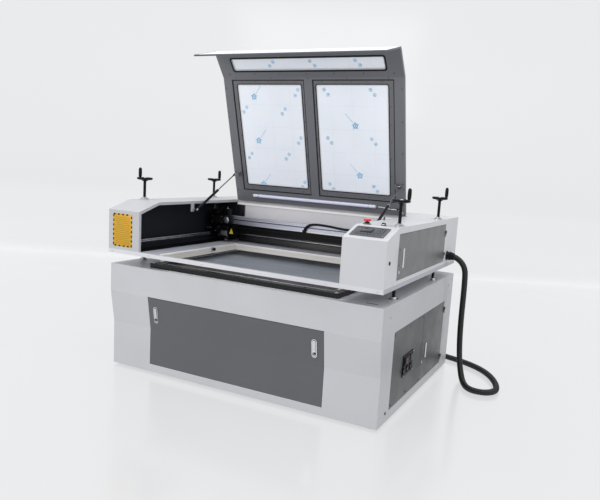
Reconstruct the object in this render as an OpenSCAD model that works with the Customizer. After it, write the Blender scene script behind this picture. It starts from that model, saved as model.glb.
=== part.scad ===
// Split-body gantry laser engraver: a lower cabinet with the work table, and an
// upper head on four hand-cranked jack screws, with a windowed lid on gas springs.
// Millimetres. +X to the right, +Y to the back, +Z up. The origin is on the floor
// under the centre of the machine.

/* [Cabinet] */
// Width of the lower cabinet
mach_w = 1850; // [1800:2:1900]
// Depth of the lower cabinet
base_d = 1400; // [1396:2:1420]
// Height of the cabinet deck above the floor
deck_z = 675; // [665:1:678]
// Height of the fold where the upright face ends
kink_hi = 497; // [490:1:505]
// Height of the fold where the face is upright again
kink_lo = 290; // [280:1:300]
// How far the lower face stands back
inset = 32; // [20:1:36]
// Height of the feet under the cabinet
foot_h = 12; // [8:1:12]
// Sheet thickness of every casing
t = 2; // [1.5:0.5:2]

/* [Work table] */
// Half of the table frame's width
table_hw = 645; // [640:1:650]
// Number of slats in the table
slat_n = 31; // [24:1:32]

/* [Head unit] */
// Half of the head's width
head_hw = 922; // [918:1:922]
// Underside of the head
head_z = 749; // [745:1:752]
// Top of the head
top_z = 1075; // [1070:1:1080]
// Width of each side housing
house_w = 245; // [240:1:247]
// Left edge of the work opening
open_l = -515; // [-520:5:-480]
// Right edge of the work opening
open_r = 670; // [600:5:670]
// Rear edge of the work opening
work_b = 75; // [35:5:80]

/* [Jack screws] */
// Radius of each jack screw
screw_r = 9; // [8:0.5:10]
// Height of the handwheels above the floor
wheel_z = 1205; // [1200:1:1215]
// Radius of each handwheel
wheel_r = 50; // [45:1:55]

/* [Lid] */
// Angle that the lid stands open
lid_open = 74.4; // [60:0.1:75]
// Half of the lid's width
lid_hw = 663; // [655:1:665]
// Length of the lid's main part
lid_l1 = 892; // [880:1:895]
// Length of the lid's sloping part
lid_l2 = 189; // [180:1:190]
// Angle between the lid's two parts
lid_bend = 21.7; // [18:0.1:24]
// Height of the lid's front plate
lid_l3 = 244; // [230:1:245]
// Thickness of the lid frame
lid_t = 20; // [18:1:22]

/* [Gantry] */
// Height of the beam's underside
beam_z = 905; // [900:1:908]
// Radius of the glass laser tube
tube_r = 40; // [30:1:42]

/* [Hose] */
// Outer radius of the hose
hose_r = 20; // [16:1:20]

/* [Hidden] */
$fn = 48;

hw = mach_w / 2;
yf = -base_d / 2;
yb = base_d / 2;
kr = inset / (kink_hi - kink_lo);
slant = atan(kr);
head_yf = -725;
head_yb = 690;
tray_z = head_z + 25;
house_in = head_hw - house_w;
rear_y = 326;
jack_x = 885;
jack_y = [-455, 300];
panel_x = -12;
jacks = [[-jack_x, jack_y[0]], [jack_x, jack_y[0]], [-jack_x, jack_y[1]], [jack_x, jack_y[1]]];
hinge = [rear_y, top_z];
pin_z = top_z + 5.6;

module box(a, b) { translate(a) cube(b - a); }
module xext(x0, x1, p) { translate([x0, 0, 0]) rotate([90, 0, 90]) linear_extrude(x1 - x0) polygon(p); }
module rod_x(x0, x1, y, z, r) { translate([x0, y, z]) rotate([0, 90, 0]) cylinder(h = x1 - x0, r = r); }
module rod_y(x, y0, y1, z, r) { translate([x, y0, z]) rotate([-90, 0, 0]) cylinder(h = y1 - y0, r = r); }
module stadium(w, h, d) { // upright oval, thickness d towards +Y from y = 0
  rotate([90, 0, 0]) translate([0, 0, -d]) linear_extrude(d) union() {
    translate([-w / 2, -(h - w) / 2]) square([w, h - w]);
    for (s = [-1, 1]) translate([0, s * (h - w) / 2]) circle(w / 2);
  }
}

// ---- cabinet -------------------------------------------------------------
function bz(o) = o * (sqrt(1 + kr * kr) - 1) / kr;
function face(o) = [[yf + o, deck_z], [yf + o, kink_hi + bz(o)], [yf + inset + o, kink_lo + bz(o)], [yf + inset + o, foot_h]];
function band(a, b) = concat(face(a), [for (i = [3:-1:0]) face(b)[i]]);
side = concat(face(0), [[yb, foot_h], [yb, deck_z]]);
function ys(z) = yf + (kink_hi - z) * kr;

module base_frame() color("dimgray") {
  z0 = foot_h + t;
  z1 = deck_z - t;
  union() {
    for (x = [-hw + t, hw - t - 40]) {
      box([x, yf + 40, z0], [x + 40, yf + 80, z1]);
      box([x, yb - 42, z0], [x + 40, yb - t, z1]);
      box([x, yf + 40, z0], [x + 40, yb - t, z0 + 40]);
      box([x, yf + 40, z1 - 40], [x + 40, yb - t, z1]);
    }
    for (z = [z0, z1 - 40]) for (y = [yf + 40, yb - 42]) box([-hw + t, y, z], [hw - t, y + 40, z + 40]);
    for (x = [-640, 600]) {
      box([x, yf + 40, z1 - 40], [x + 40, yb - t, z1]);
      box([x, yb - 42, z0], [x + 40, yb - t, z1]);
      box([x, yf + 56, z0], [x + 40, yf + 80, z1]);
    }
    box([-640, 200, z1 - 40], [640, 240, z1]);
    box([-hw + t, yf + inset + t, foot_h], [hw - t, yb - t, foot_h + t]);
  }
}
module base_front_skin() color("ghostwhite") union() {
  difference() {
    xext(-hw + t, hw - t, band(0, t));
    box([panel_x - 612, yf - 1, 57], [panel_x + 612, yf + inset + 5, 499]);
  }
  for (x = [panel_x - 614, panel_x + 612]) intersection() {
    xext(x, x + t, band(t, 20));
    box([-700, yf - 1, 57], [700, yf + 100, 499]);
  }
}
module base_left_skin() color("ghostwhite") union() {
  difference() {
    xext(-hw, -hw + t, side);
    box([-hw - 1, 50, 66], [-hw + t + 1, 517, 505]);
  }
  door_knuckles(-hw, -1, 68, 503, [-hw - 4.6, 517]);
}
module base_right_skin() color("ghostwhite") union() {
  difference() {
    xext(hw - t, hw, side);
    box([hw - t - 1, -500, 66], [hw + 1, 517, 505]);
  }
  door_knuckles(hw, 1, 68, 503, [hw + 4.6, 517]);
}
module base_rear_skin() color("ghostwhite") difference() {
  box([-hw + t, yb - t, foot_h], [hw - t, yb, deck_z]);
  rod_y(hose_end[0], yb - 5, yb + 5, hose_end[2], 17);
}
module base_deck() color("ghostwhite") difference() {
  box([-hw + t, yf + t, deck_z - t], [hw - t, yb - t, deck_z]);
  box([-585, yf + 115, deck_z - 9], [585, 320, deck_z + 1]);
  box([795, -640, deck_z - 9], [865, -622, deck_z + 1]);
}
module levelling_feet() color("silver") for (x = [-870, 870]) for (y = [-620, 650]) translate([x, y, 0]) union() {
  cylinder(h = foot_h - 4, r = 28);
  cylinder(h = foot_h, r = 8);
}
module right_fixed_panel() color("gray") union() {
  box([hw - t, -498, 68], [hw, 49, 503]);
  box([hw - 2 * t, -508, 58], [hw - t, 49, 513]);
}
module socket_plate() color("black") union() {
  box([hw, -315, 198], [hw + 4, -136, 325]);
  box([hw + 4, -305, 262], [hw + 7, -215, 315]);
  for (y = [-297, -235, -173]) translate([hw + 4, y, 232]) rotate([0, 90, 0]) cylinder(h = 3, r = 20);
}
module electronics_plate() color("steelblue") {
  box([-420, 300, foot_h + t], [420, 303, 470]);
  box([-380, 250, foot_h + t], [-165, 300, 130]);
  for (x = [-100, 20, 140]) box([x, 262, 180], [x + 90, 300, 330]);
  box([270, 240, 150], [400, 300, 400]);
}
// ---- work table ------------------------------------------------------------
tb_f = -655;
tb_b = 385;
tb_h = 28;
module table_frame() color("#202022") difference() {
  box([-table_hw, tb_f, deck_z], [table_hw, tb_b, deck_z + tb_h]);
  box([-table_hw + 50, tb_f + 50, deck_z + 12], [table_hw - 50, tb_b - 50, deck_z + 40]);
  box([-table_hw + 62, tb_f + 62, deck_z - 1], [table_hw - 62, tb_b - 62, deck_z + 40]);
}
module table_slats() color("#5A6470") {
  p = (tb_b - tb_f - 100) / slat_n;
  for (i = [0:slat_n - 1]) box([-table_hw + 50, tb_f + 52 + i * p, deck_z + 12], [table_hw - 50, tb_f + 52 + i * p + p - 4, deck_z + 23]);
}
// ---- jack screws -----------------------------------------------------------
module jack_cups() color("silver") for (j = jacks) translate([j[0], j[1], deck_z]) difference() {
  union() {
    cylinder(h = 5, r = 27);
    cylinder(h = 16, r = 17);
  }
  translate([0, 0, 4]) cylinder(h = 20, r = screw_r + 0.06);
}
// A screw with its dished handwheel, and a post for the crank grip at angle a
module handwheel(j, a) color("#18181a") translate([j[0], j[1], 0]) {
  translate([0, 0, deck_z + 4.3]) cylinder(h = wheel_z + 6 - deck_z - 4.3, r = screw_r);
  rotate_extrude($fn = 96) polygon([[screw_r, wheel_z - 11], [14, wheel_z - 11], [21, wheel_z - 5], [wheel_r - 5, wheel_z - 1],
    [wheel_r, wheel_z + 3], [wheel_r, wheel_z + 11], [wheel_r - 3, wheel_z + 14], [wheel_r - 8, wheel_z + 14], [20, wheel_z + 7],
    [15, wheel_z + 9], [screw_r, wheel_z + 9]]);
  rotate([0, 0, a]) translate([wheel_r - 10, 0, wheel_z + 10]) cylinder(h = 4.6, r = 7);
  rotate([0, 0, a]) translate([wheel_r - 10, 0, wheel_z + 10]) cylinder(h = 66.5, r = 3.5);
}
module crank_grip(j, a) color("#101012") translate([j[0], j[1], 0]) rotate([0, 0, a]) translate([wheel_r - 10, 0, wheel_z + 15]) difference() {
  rotate_extrude($fn = 48) polygon([[3.56, 0], [8, 0], [10.4, 6], [11.2, 28], [10.2, 52], [7.6, 58], [3.56, 60]]);
  translate([0, 0, -1]) cylinder(h = 90, r = 3.56);
}
module handwheel_front_left() handwheel(jacks[0], 180);
module handwheel_front_right() handwheel(jacks[1], 20);
module handwheel_rear_left() handwheel(jacks[2], 20);
module handwheel_rear_right() handwheel(jacks[3], 20);
module crank_grip_front_left() crank_grip(jacks[0], 180);
module crank_grip_front_right() crank_grip(jacks[1], 20);
module crank_grip_rear_left() crank_grip(jacks[2], 20);
module crank_grip_rear_right() crank_grip(jacks[3], 20);
module jack_nuts() color("silver") for (j = jacks) translate([j[0], j[1], 0]) {
  difference() {
    union() {
      translate([0, 0, top_z]) cylinder(h = 5, r = 27);
      translate([0, 0, top_z + 5]) cylinder(h = 9, r = 15);
      for (a = [45:90:315]) rotate([0, 0, a]) translate([20.5, 0, top_z + 5]) cylinder(h = 3, r = 3.5);
    }
    translate([0, 0, top_z - 1]) cylinder(h = 40, r = screw_r + 0.06);
  }
  difference() {
    translate([0, 0, head_z]) cylinder(h = 22, r = 19);
    translate([0, 0, head_z - 1]) cylinder(h = 40, r = screw_r + 0.06);
  }
}
// ---- access panel, latches and doors ----------------------------------------
module on_slope(x, z) { translate([x, ys(z), z]) rotate([slant, 0, 0]) children(); }
module front_panel() color("#6A6B70") translate([panel_x, 0, 0]) union() {
  intersection() {
    xext(-609.5, 609.5, band(0, t));
    box([-700, yf - 1, 60], [700, yf + 100, 496]);
  }
  for (x = [-609.5, 607.5]) intersection() {
    xext(x, x + t, band(t, 18));
    box([-700, yf - 1, 60], [700, yf + 100, 496]);
  }
}
latch_x = 552;
latch_z = 390;
module latch(s) color("lightgray") on_slope(panel_x + s * latch_x, latch_z) union() {
  translate([0, -7, 0]) stadium(19, 94, 5);
  translate([0, -9, -30]) rotate([-90, 0, 0]) cylinder(h = 2, r = 8);
}
module latch_left() latch(-1);
module latch_right() latch(1);
// An upright pull handle standing on a side wall at x, facing s
module pull(x, s, y, z0, z1) color("silver") {
  for (z = [z0 + 10, z1 - 10]) rod_x(min(x, x + s * 20), max(x, x + s * 20), y, z, 4.5);
  translate([x + s * 20, y, z0]) cylinder(h = z1 - z0, r = 5.5);
}
// A side door: plate, folded edges, and a barrel on its rear edge
module side_door(x, s, y0, y1, z0, z1, ax) {
  xo = x;
  xi = x - s * t;
  union() {
    box([min(xo, xi), y0, z0], [max(xo, xi), y1, z1]);
    for (e = [[y0, y0 + t, z0, z1], [y1 - t, y1, z0, z1], [y0, y1, z0, z0 + t], [y0, y1, z1 - t, z1]])
      box([min(xi, xi - s * 16), e[0], e[2]], [max(xi, xi - s * 16), e[1], e[3]]);
    for (z = [z0 + 40, z1 - 60]) difference() {
      union() {
        translate([ax[0], ax[1], z]) cylinder(h = 20, r = 4.5);
        box([min(x, ax[0]), ax[1] - 14, z], [max(x, ax[0]), ax[1], z + 20]);
      }
      translate([ax[0], ax[1], z - 1]) cylinder(h = 30, r = 2.06);
    }
  }
}
// The casing's half of the door hinges, with the pins
module door_knuckles(x, s, z0, z1, ax) {
  for (z = [z0 + 40, z1 - 60]) union() {
    translate([ax[0], ax[1], z - 20.4]) cylinder(h = 20, r = 4.5);
    translate([ax[0], ax[1], z - 20.4]) cylinder(h = 39, r = 2);
    box([min(x, ax[0]), ax[1], z - 20.4], [max(x, ax[0]), ax[1] + 14, z - 0.4]);
  }
}
module base_right_door() color("gray") side_door(hw, 1, 52, 514.6, 68, 503, [hw + 4.6, 517]);
module base_right_handle() pull(hw, 1, 66, 226, 320);
module base_left_door() {
  color("gray") side_door(-hw, -1, 52, 514.6, 68, 503, [-hw - 4.6, 517]);
  pull(-hw, -1, 66, 226, 320);
}
module head_right_door() color("#808080") side_door(head_hw, 1, -540, 378.6, 797, 1041, [head_hw + 4.6, 381]);
module head_right_handle() pull(head_hw, 1, -516, 866, 970);
// ---- hose --------------------------------------------------------------------
hose_end = [640, 731, 120];
hose_path = [[939.4, 465, 826], [965, 465, 824], [992, 465, 815], [1016, 466, 799], [1036, 467, 777], [1049, 468, 751],
  [1056, 470, 715], [1058, 473, 650], [1058, 477, 580], [1057, 482, 500], [1056, 488, 420], [1056, 494, 340], [1058, 499, 265],
  [1062, 500, 200], [1069, 493, 143], [1080, 476, 95], [1096, 447, 56], [1115, 405, 31], [1136, 355, 21], [1158, 305, 20],
  [1183, 262, 20], [1220, 231, 20], [1266, 223, 20], [1310, 237, 20], [1342, 272, 20], [1356, 320, 20], [1350, 380, 20],
  [1330, 450, 20], [1298, 525, 20], [1256, 598, 20], [1202, 665, 20], [1136, 722, 20], [1060, 768, 20], [970, 806, 20],
  [870, 838, 22], [778, 853, 38], [704, 840, 68], [658, 802, 100], [641, 760, 118], [640, 731, 120]];
function unit(v) = v / norm(v);
function tang(p, i, d0, d1) = i == 0 ? d0 : i == len(p) - 1 ? d1 : unit(p[i + 1] - p[i - 1]);
function nrm(p, i, d0, d1) = let (t0 = tang(p, i, d0, d1)) i == 0 ? unit(cross(t0, [0.1, 1, 0.2])) :
  let (n = nrm(p, i - 1, d0, d1)) unit(n - (n * t0) * t0);
module sweep(p, r, k, d0, d1) {
  n = len(p);
  pts = [for (i = [0:n - 1]) let (a = tang(p, i, d0, d1), u = nrm(p, i, d0, d1), v = cross(a, u))
    for (j = [0:k - 1]) p[i] + r * (cos(360 * j / k) * u + sin(360 * j / k) * v)];
  faces = concat([[for (j = [0:k - 1]) j]], [[for (j = [k - 1:-1:0]) (n - 1) * k + j]],
    [for (i = [0:n - 2]) for (j = [0:k - 1]) [i * k + j, (i + 1) * k + j, (i + 1) * k + (j + 1) % k, i * k + (j + 1) % k]]);
  polyhedron(pts, faces, convexity = 10);
}
module hose() color("#1c1c1e") sweep(hose_path, hose_r, 10, [1, 0, 0], [0, -1, 0]);
module head_hose_gland() color("#222") translate([head_hw, 465, 826]) rotate([0, 90, 0]) difference() {
  union() {
    cylinder(h = 5, r = 32);
    translate([0, 0, 5]) cylinder(h = 12, r1 = 27, r2 = 23);
  }
  translate([0, 0, -1]) cylinder(h = 40, r = 16);
}
module base_hose_gland() color("#222") translate([hose_end[0], yb, hose_end[2]]) rotate([-90, 0, 0]) difference() {
  union() {
    cylinder(h = 6, r = 34);
    translate([0, 0, 6]) cylinder(h = 25, r1 = 29, r2 = 23);
  }
  translate([0, 0, -1]) cylinder(h = 40, r = 16);
}
// ---- head unit -----------------------------------------------------------------
function hp(d) = [[head_yf + d, tray_z], [head_yf + d, 1019 - 0.727 * d], [-552 + 0.1575 * d, top_z - d]];
work_f = -711;
module head_tray() color("lavender") difference() {
  box([-head_hw, head_yf, head_z], [head_hw, head_yb, tray_z]);
  difference() {
    box([-head_hw + 3, head_yf + 3, head_z - 1], [head_hw - 3, head_yb - 3, tray_z - 3]);
    box([open_l - 3, work_f - 3, head_z - 2], [open_r + 3, work_b + 3, tray_z]);
  }
  box([open_l, work_f, head_z - 2], [open_r, work_b, tray_z + 1]);
  for (j = jacks) translate([j[0], j[1], head_z - 1]) cylinder(h = 50, r = screw_r + 1);
}
module work_flange() color("oldlace") difference() {
  box([open_l, work_f, head_z - 14], [open_r, work_b, tray_z]);
  box([open_l + t, work_f + t, head_z - 20], [open_r - t, work_b - t, tray_z + 1]);
  box([open_l + t, work_f - 1, head_z - 20], [open_r - t, work_f + t + 1, head_z]);
}
module housing(s) {
  xo = s * head_hw;
  xi = s * house_in;
  x1 = xo - s * t;
  lo = min(x1, xi);
  hi = max(x1, xi);
  xext(min(xo, x1), max(xo, x1), concat(hp(0), [[head_yb, top_z], [head_yb, tray_z]]));
  xext(lo, hi, concat(hp(0), [[head_yb, top_z], [head_yb, tray_z], [head_yb - t, tray_z], [head_yb - t, top_z - t]],
    [hp(t)[2], hp(t)[1], hp(t)[0]]));
  xext(min(xi, xi + s * t), max(xi, xi + s * t), concat(hp(t), [[rear_y, top_z - t], [rear_y, top_z - 18]],
    [hp(18)[2], hp(18)[1], hp(18)[0]]));
}
module jack_holes(s) for (j = jacks) if (j[0] * s > 0) translate([j[0], j[1], top_z - 10]) cylinder(h = 30, r = screw_r + 1);
module strut_lug(s) { // lug and pin that carry one gas spring at the housing's edge
  box([min(s * house_in, s * (house_in + 4)), strut_b[0] - 16, strut_b[1] - 16], [max(s * house_in, s * (house_in + 4)), strut_b[0] + 16, top_z - 18]);
  rod_x(min(s * (strut_x - 7), s * house_in), max(s * (strut_x - 7), s * house_in), strut_b[0], strut_b[1], 4);
}
module left_housing() color("ghostwhite") union() {
  difference() {
    housing(-1);
    jack_holes(-1);
    box([-858, -264, top_z - 9], [-808, -256, top_z + 1]);
  }
  strut_lug(-1);
}
module right_housing() color("ghostwhite") union() {
  difference() {
    housing(1);
    jack_holes(1);
    box([head_hw - 9, -542, 795], [head_hw + 9, 381, 1043]);
    rod_x(head_hw - 9, head_hw + 9, 465, 826, 16);
  }
  strut_lug(1);
  door_knuckles(head_hw, 1, 797, 1041, [head_hw + 4.6, 381]);
}
spigot_z = 900;
module rear_housing() color("ghostwhite") union() {
  box([-house_in, rear_y, top_z - t], [house_in, head_yb, top_z]);
  difference() {
    box([-house_in, head_yb - t, tray_z], [house_in, head_yb, top_z - t]);
    rod_y(0, head_yb - 9, head_yb + 9, spigot_z, 72);
  }
  box([-house_in, rear_y, top_z - 25], [house_in, rear_y + t, top_z - t]);
  lid_pins();
}
module inner_rear_cover() color("#c8c8d2") box([-house_in, rear_y, tray_z], [house_in, rear_y + t, top_z - 25]);
module exhaust_spigot() color("silver") translate([0, head_yb, spigot_z]) rotate([-90, 0, 0]) difference() {
  union() {
    cylinder(h = 3, r = 95);
    cylinder(h = 35, r = 75);
  }
  translate([0, 0, -1]) cylinder(h = 50, r = 72);
}
module y_rails() color("silver") for (s = [-1, 1]) {
  difference() {
    box([min(s * 780, s * 822), head_yf + 10, tray_z], [max(s * 780, s * 822), rear_y - 6, 812]);
    box([min(s * 784, s * 818), head_yf + 9, tray_z + 4], [max(s * 784, s * 818), rear_y, 808]);
  }
  box([min(s * 792.5, s * 807.5), head_yf + 14, 812], [max(s * 792.5, s * 807.5), rear_y - 10, 827]);
}
// ---- control panel and switches on the right housing ----------------------------
ch_a = atan2(top_z - 1019, 173);
module on_chamfer() { translate([0, head_yf, 1019]) rotate([ch_a, 0, 0]) children(); }
module control_panel() color("#3c3e44") on_chamfer() translate([700, 33, 0]) union() {
  difference() {
    cube([186, 117, 5]);
    translate([8, 8, 3]) cube([170, 101, 5]);
  }
  translate([8, 8, 3]) cube([170, 101, 1]);
}
stop_p = [723, -514];
key_p = [815, -505];
module stop_switch_base() {
  color("#151515") translate([stop_p[0], stop_p[1], top_z]) difference() {
    union() {
      cylinder(h = 3, r = 22);
      cylinder(h = 12, r = 14);
    }
    translate([0, 0, 2]) cylinder(h = 20, r = 7.06);
  }
  color("silver") translate([key_p[0], key_p[1], top_z]) difference() {
    union() {
      cylinder(h = 4, r = 15);
      cylinder(h = 14, r = 11);
    }
    translate([0, 0, 4]) cylinder(h = 20, r = 7.06);
  }
}
module stop_button() color("red") translate([stop_p[0], stop_p[1], top_z]) rotate_extrude($fn = 64)
  polygon([[0, 7], [7, 7], [7, 17], [18, 17], [20, 20], [20, 25], [15, 29], [7, 31], [0, 31]]);
module key_switch() color("gainsboro") translate([key_p[0], key_p[1], top_z]) union() {
  translate([0, 0, 4.4]) cylinder(h = 12, r = 7);
  translate([-1.2, -9, 16.4]) cube([2.4, 18, 22]);
}
// ---- laser source -----------------------------------------------------------------
module laser_tube() color("#cfe3ea") rod_x(-640, 610, 520, 905, tube_r);
module tube_brackets() color("#333") for (x = [-430, 380]) difference() {
  box([x, 465, tray_z], [x + 40, 575, 905]);
  rod_x(x - 1, x + 41, 520, 905, tube_r);
}
// ---- gantry ------------------------------------------------------------------------
module gantry_beam() color("lightsteelblue") difference() {
  xext(-778, 778, [[165, beam_z], [165, 925], [170, 926], [170, 933], [165, 934], [165, 944], [170, 945], [170, 952], [165, 953],
    [165, 962], [225, 962], [225, 914], [180, 914], [180, beam_z]]);
  box([-800, 190, 925], [800, 215, 950]);
}
module x_rail() color("#151517") union() {
  box([-778, 172, 850], [778, 222, beam_z - 1]);
  box([-778, 172, beam_z - 1], [778, 180, beam_z]);
  box([-778, 165, 872], [778, 172, 884]);
}
module beam_carriages() color("#2a2a2c") for (s = [-1, 1]) union() {
  difference() {
    box([min(s * 783, s * 817), 150, 815], [max(s * 783, s * 817), 240, 850]);
    box([min(s * 792, s * 808), 149, 814], [max(s * 792, s * 808), 241, 827.5]);
  }
  box([min(s * 778, s * 840), 140, 850], [max(s * 778, s * 840), 240, 858]);
  box([min(s * 778, s * 786), 150, 858], [max(s * 778, s * 786), 240, 975]);
}
conduit_path = [[-6, 157, 918], [-1, 156, 932], [12, 154, 947], [34, 152, 960], [64, 151, 967], [100, 150, 969.5], [150, 150, 968],
  [200, 150, 965], [250, 150, 960], [300, 150, 956], [360, 150, 958], [420, 151, 966], [480, 156, 976], [540, 164, 981],
  [600, 172, 980], [660, 180, 977], [720, 186, 975], [778, 190, 975]];
module beam_conduit() color("#111") union() {
  sweep(conduit_path, 8, 10, [0, 0, 1], [1, 0, 0]);
  translate([-18, 147, 906]) cube([24, 18, 16]);
}
module laser_head() color("#1d1d20") union() {
  difference() {
    box([-700, 138, 806], [-560, 171.6, 896]);
    box([-720, 164.5, 871.5], [-540, 180, 900]);
  }
  box([-690, 104, 812], [-600, 138, 890]);
  translate([-630, 121, 794]) cylinder(h = 18, r = 15);
  translate([-630, 121, 783]) cylinder(h = 11, r1 = 4, r2 = 12);
  box([-596, 112, 830], [-566, 138, 880]);
}
// ---- lid -----------------------------------------------------------------------------
p1 = hinge + lid_l1 * [-1, 0];
p2 = p1 + lid_l2 * [-cos(lid_bend), -sin(lid_bend)];
p1i = [p1[0] + lid_t * tan(lid_bend / 2), p1[1] - lid_t];
plate_t = 8;
cut_y = p2[0] + plate_t;
function slope_z(q) = q[1] - (q[0] - cut_y) * tan(lid_bend);
strut_x = 642;
strut_b = [-215, 1020];
strut_s = 207;
strut_d = 50;
module opened() { translate([0, rear_y, pin_z]) rotate([-lid_open, 0, 0]) translate([0, -rear_y, -pin_z]) children(); }
module on_lid2() { translate([0, p1[0], p1[1]]) rotate([lid_bend, 0, 0]) children(); }
function sy(s) = hinge[0] - s;
module rounded_x(x0, x1, s0, s1, z0, z1, r) { // a window-shaped block in the closed lid
  translate([0, 0, z0]) linear_extrude(z1 - z0) union() {
    translate([x0, sy(s1) + r]) square([x1 - x0, s1 - s0 - 2 * r]);
    translate([x0 + r, sy(s1)]) square([x1 - x0 - 2 * r, s1 - s0]);
    for (x = [x0 + r, x1 - r]) for (y = [sy(s1) + r, sy(s0) - r]) translate([x, y]) circle(r);
  }
}
module lid_frame() color("#5E5E64") opened() union() {
  difference() {
    xext(-lid_hw, lid_hw, [[hinge[0] - 1.5, hinge[1]], p1, [cut_y, slope_z(p1)], [cut_y, slope_z(p1i)], p1i, [hinge[0] - 1.5, hinge[1] - lid_t]]);
    for (s = [-1, 1]) {
      rounded_x(min(s * 54, s * 558), max(s * 54, s * 558), 130, 844, top_z - 30, top_z + 1, 14);
      box([min(s * 30, s * 597), sy(875), top_z - 30], [max(s * 30, s * 597), sy(85), top_z - 8]);
    }
    on_lid2() translate([0, -hinge[0], 0]) rounded_x(-555, 555, 52, 143, -lid_t - 1, 1, 14);
  }
  for (x = [-480, 0, 480]) {
    difference() {
      union() {
        rod_x(x - 30, x + 30, hinge[0], hinge[1] + 5.6, 5);
        box([x - 30, hinge[0] - 24, hinge[1]], [x + 30, hinge[0] - 1.5, hinge[1] + 3]);
        box([x - 30, hinge[0] - 5, hinge[1] + 2], [x + 30, hinge[0], hinge[1] + 5.6]);
      }
      rod_x(x - 31, x + 31, hinge[0], hinge[1] + 5.6, 2.56);
    }
  }
  for (s = [-1, 1]) {
    box([min(s * 606, s * 611), sy(strut_s + 15), top_z - strut_d - 8], [max(s * 606, s * 611), sy(strut_s - 15), top_z - lid_t]);
    rod_x(min(s * 611, s * (strut_x - 7)), max(s * 611, s * (strut_x - 7)), sy(strut_s), top_z - strut_d, 5);
  }
}
module lid_windows() color("#eef2fa") opened() {
  for (s = [-1, 1]) box([min(s * 38, s * 574), sy(862), top_z - 12], [max(s * 38, s * 574), sy(112), top_z - 8]);
  on_lid2() translate([0, -hinge[0], 0]) rounded_x(-555, 555, 52, 143, -12, -8, 14);
}
module lid_front_plate() color("white") opened() xext(-lid_hw, lid_hw, [p2, [cut_y, slope_z(p1)], [cut_y, p2[1] - lid_l3], [p2[0], p2[1] - lid_l3]]);
module lid_lamp() color("#d8d8f4") opened() {
  rod_x(-503, 456, sy(52), top_z - lid_t - 14, 11);
  for (x = [-470, 400]) box([x, sy(60), top_z - lid_t - 4], [x + 22, sy(44), top_z - lid_t]);
}
// The casing's hinge blocks with the pins
module lid_pins() for (x = [-480, 0, 480]) union() {
  rod_x(x - 60, x + 60, hinge[0], hinge[1] + 5.6, 2.5);
  for (u = [x - 60, x + 30.4]) union() {
    rod_x(u, u + 29.6, hinge[0], hinge[1] + 5.6, 5);
    box([u, hinge[0], hinge[1]], [u + 29.6, hinge[0] + 26, hinge[1] + 3]);
    box([u, hinge[0] - 1, hinge[1] + 1], [u + 29.6, hinge[0] + 5, hinge[1] + 5.6]);
  }
}
// ---- gas springs ------------------------------------------------------------------------
function rot2(v, a) = [v[0] * cos(a) - v[1] * sin(a), v[0] * sin(a) + v[1] * cos(a)];
stud0 = [rear_y, pin_z] + rot2([-strut_s, -strut_d + top_z - pin_z], -lid_open);
strut_l = norm(stud0 - strut_b);
strut_a = atan2(stud0[1] - strut_b[1], stud0[0] - strut_b[0]);
tube_l = 268;
module along_strut(s) { translate([s * strut_x, strut_b[0], strut_b[1]]) rotate([strut_a, 0, 0]) children(); }
module spring_tube(s) color("#141416") along_strut(s) difference() {
  union() {
    translate([0, 12, 0]) rotate([-90, 0, 0]) cylinder(h = tube_l - 12, r = 9);
    rod_x(-5, 5, 0, 0, 9);
    translate([-4, 0, -5]) cube([8, 14, 10]);
  }
  rod_x(-6, 6, 0, 0, 4.06);
  translate([0, 50, 0]) rotate([-90, 0, 0]) cylinder(h = tube_l, r = 4.06);
}
module spring_rod(s) color("silver") along_strut(s) difference() {
  union() {
    translate([0, tube_l - 30, 0]) rotate([-90, 0, 0]) cylinder(h = strut_l - 6 - tube_l + 30, r = 4);
    rod_x(-5, 5, strut_l, 0, 8);
  }
  rod_x(-6, 6, strut_l, 0, 4);
}
module gas_spring_tube_left() spring_tube(-1);
module gas_spring_tube_right() spring_tube(1);
module gas_spring_rod_left() spring_rod(-1);
module gas_spring_rod_right() spring_rod(1);

base_frame();
base_front_skin();
base_left_skin();
base_right_skin();
base_rear_skin();
base_deck();
levelling_feet();
right_fixed_panel();
socket_plate();
electronics_plate();
table_frame();
table_slats();
jack_cups();
base_hose_gland();
hose();
front_panel();
latch_left();
latch_right();
base_right_door();
base_right_handle();
base_left_door();
handwheel_front_left();
handwheel_front_right();
handwheel_rear_left();
handwheel_rear_right();
crank_grip_front_left();
crank_grip_front_right();
crank_grip_rear_left();
crank_grip_rear_right();
head_tray();
left_housing();
right_housing();
rear_housing();
inner_rear_cover();
work_flange();
jack_nuts();
y_rails();
control_panel();
stop_switch_base();
stop_button();
key_switch();
head_hose_gland();
exhaust_spigot();
head_right_door();
head_right_handle();
laser_tube();
tube_brackets();
gantry_beam();
x_rail();
beam_carriages();
beam_conduit();
laser_head();
lid_frame();
lid_windows();
lid_front_plate();
lid_lamp();
gas_spring_tube_left();
gas_spring_tube_right();
gas_spring_rod_left();
gas_spring_rod_right();
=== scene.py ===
import bpy, bmesh, math, random
from mathutils import Vector, Matrix


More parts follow.
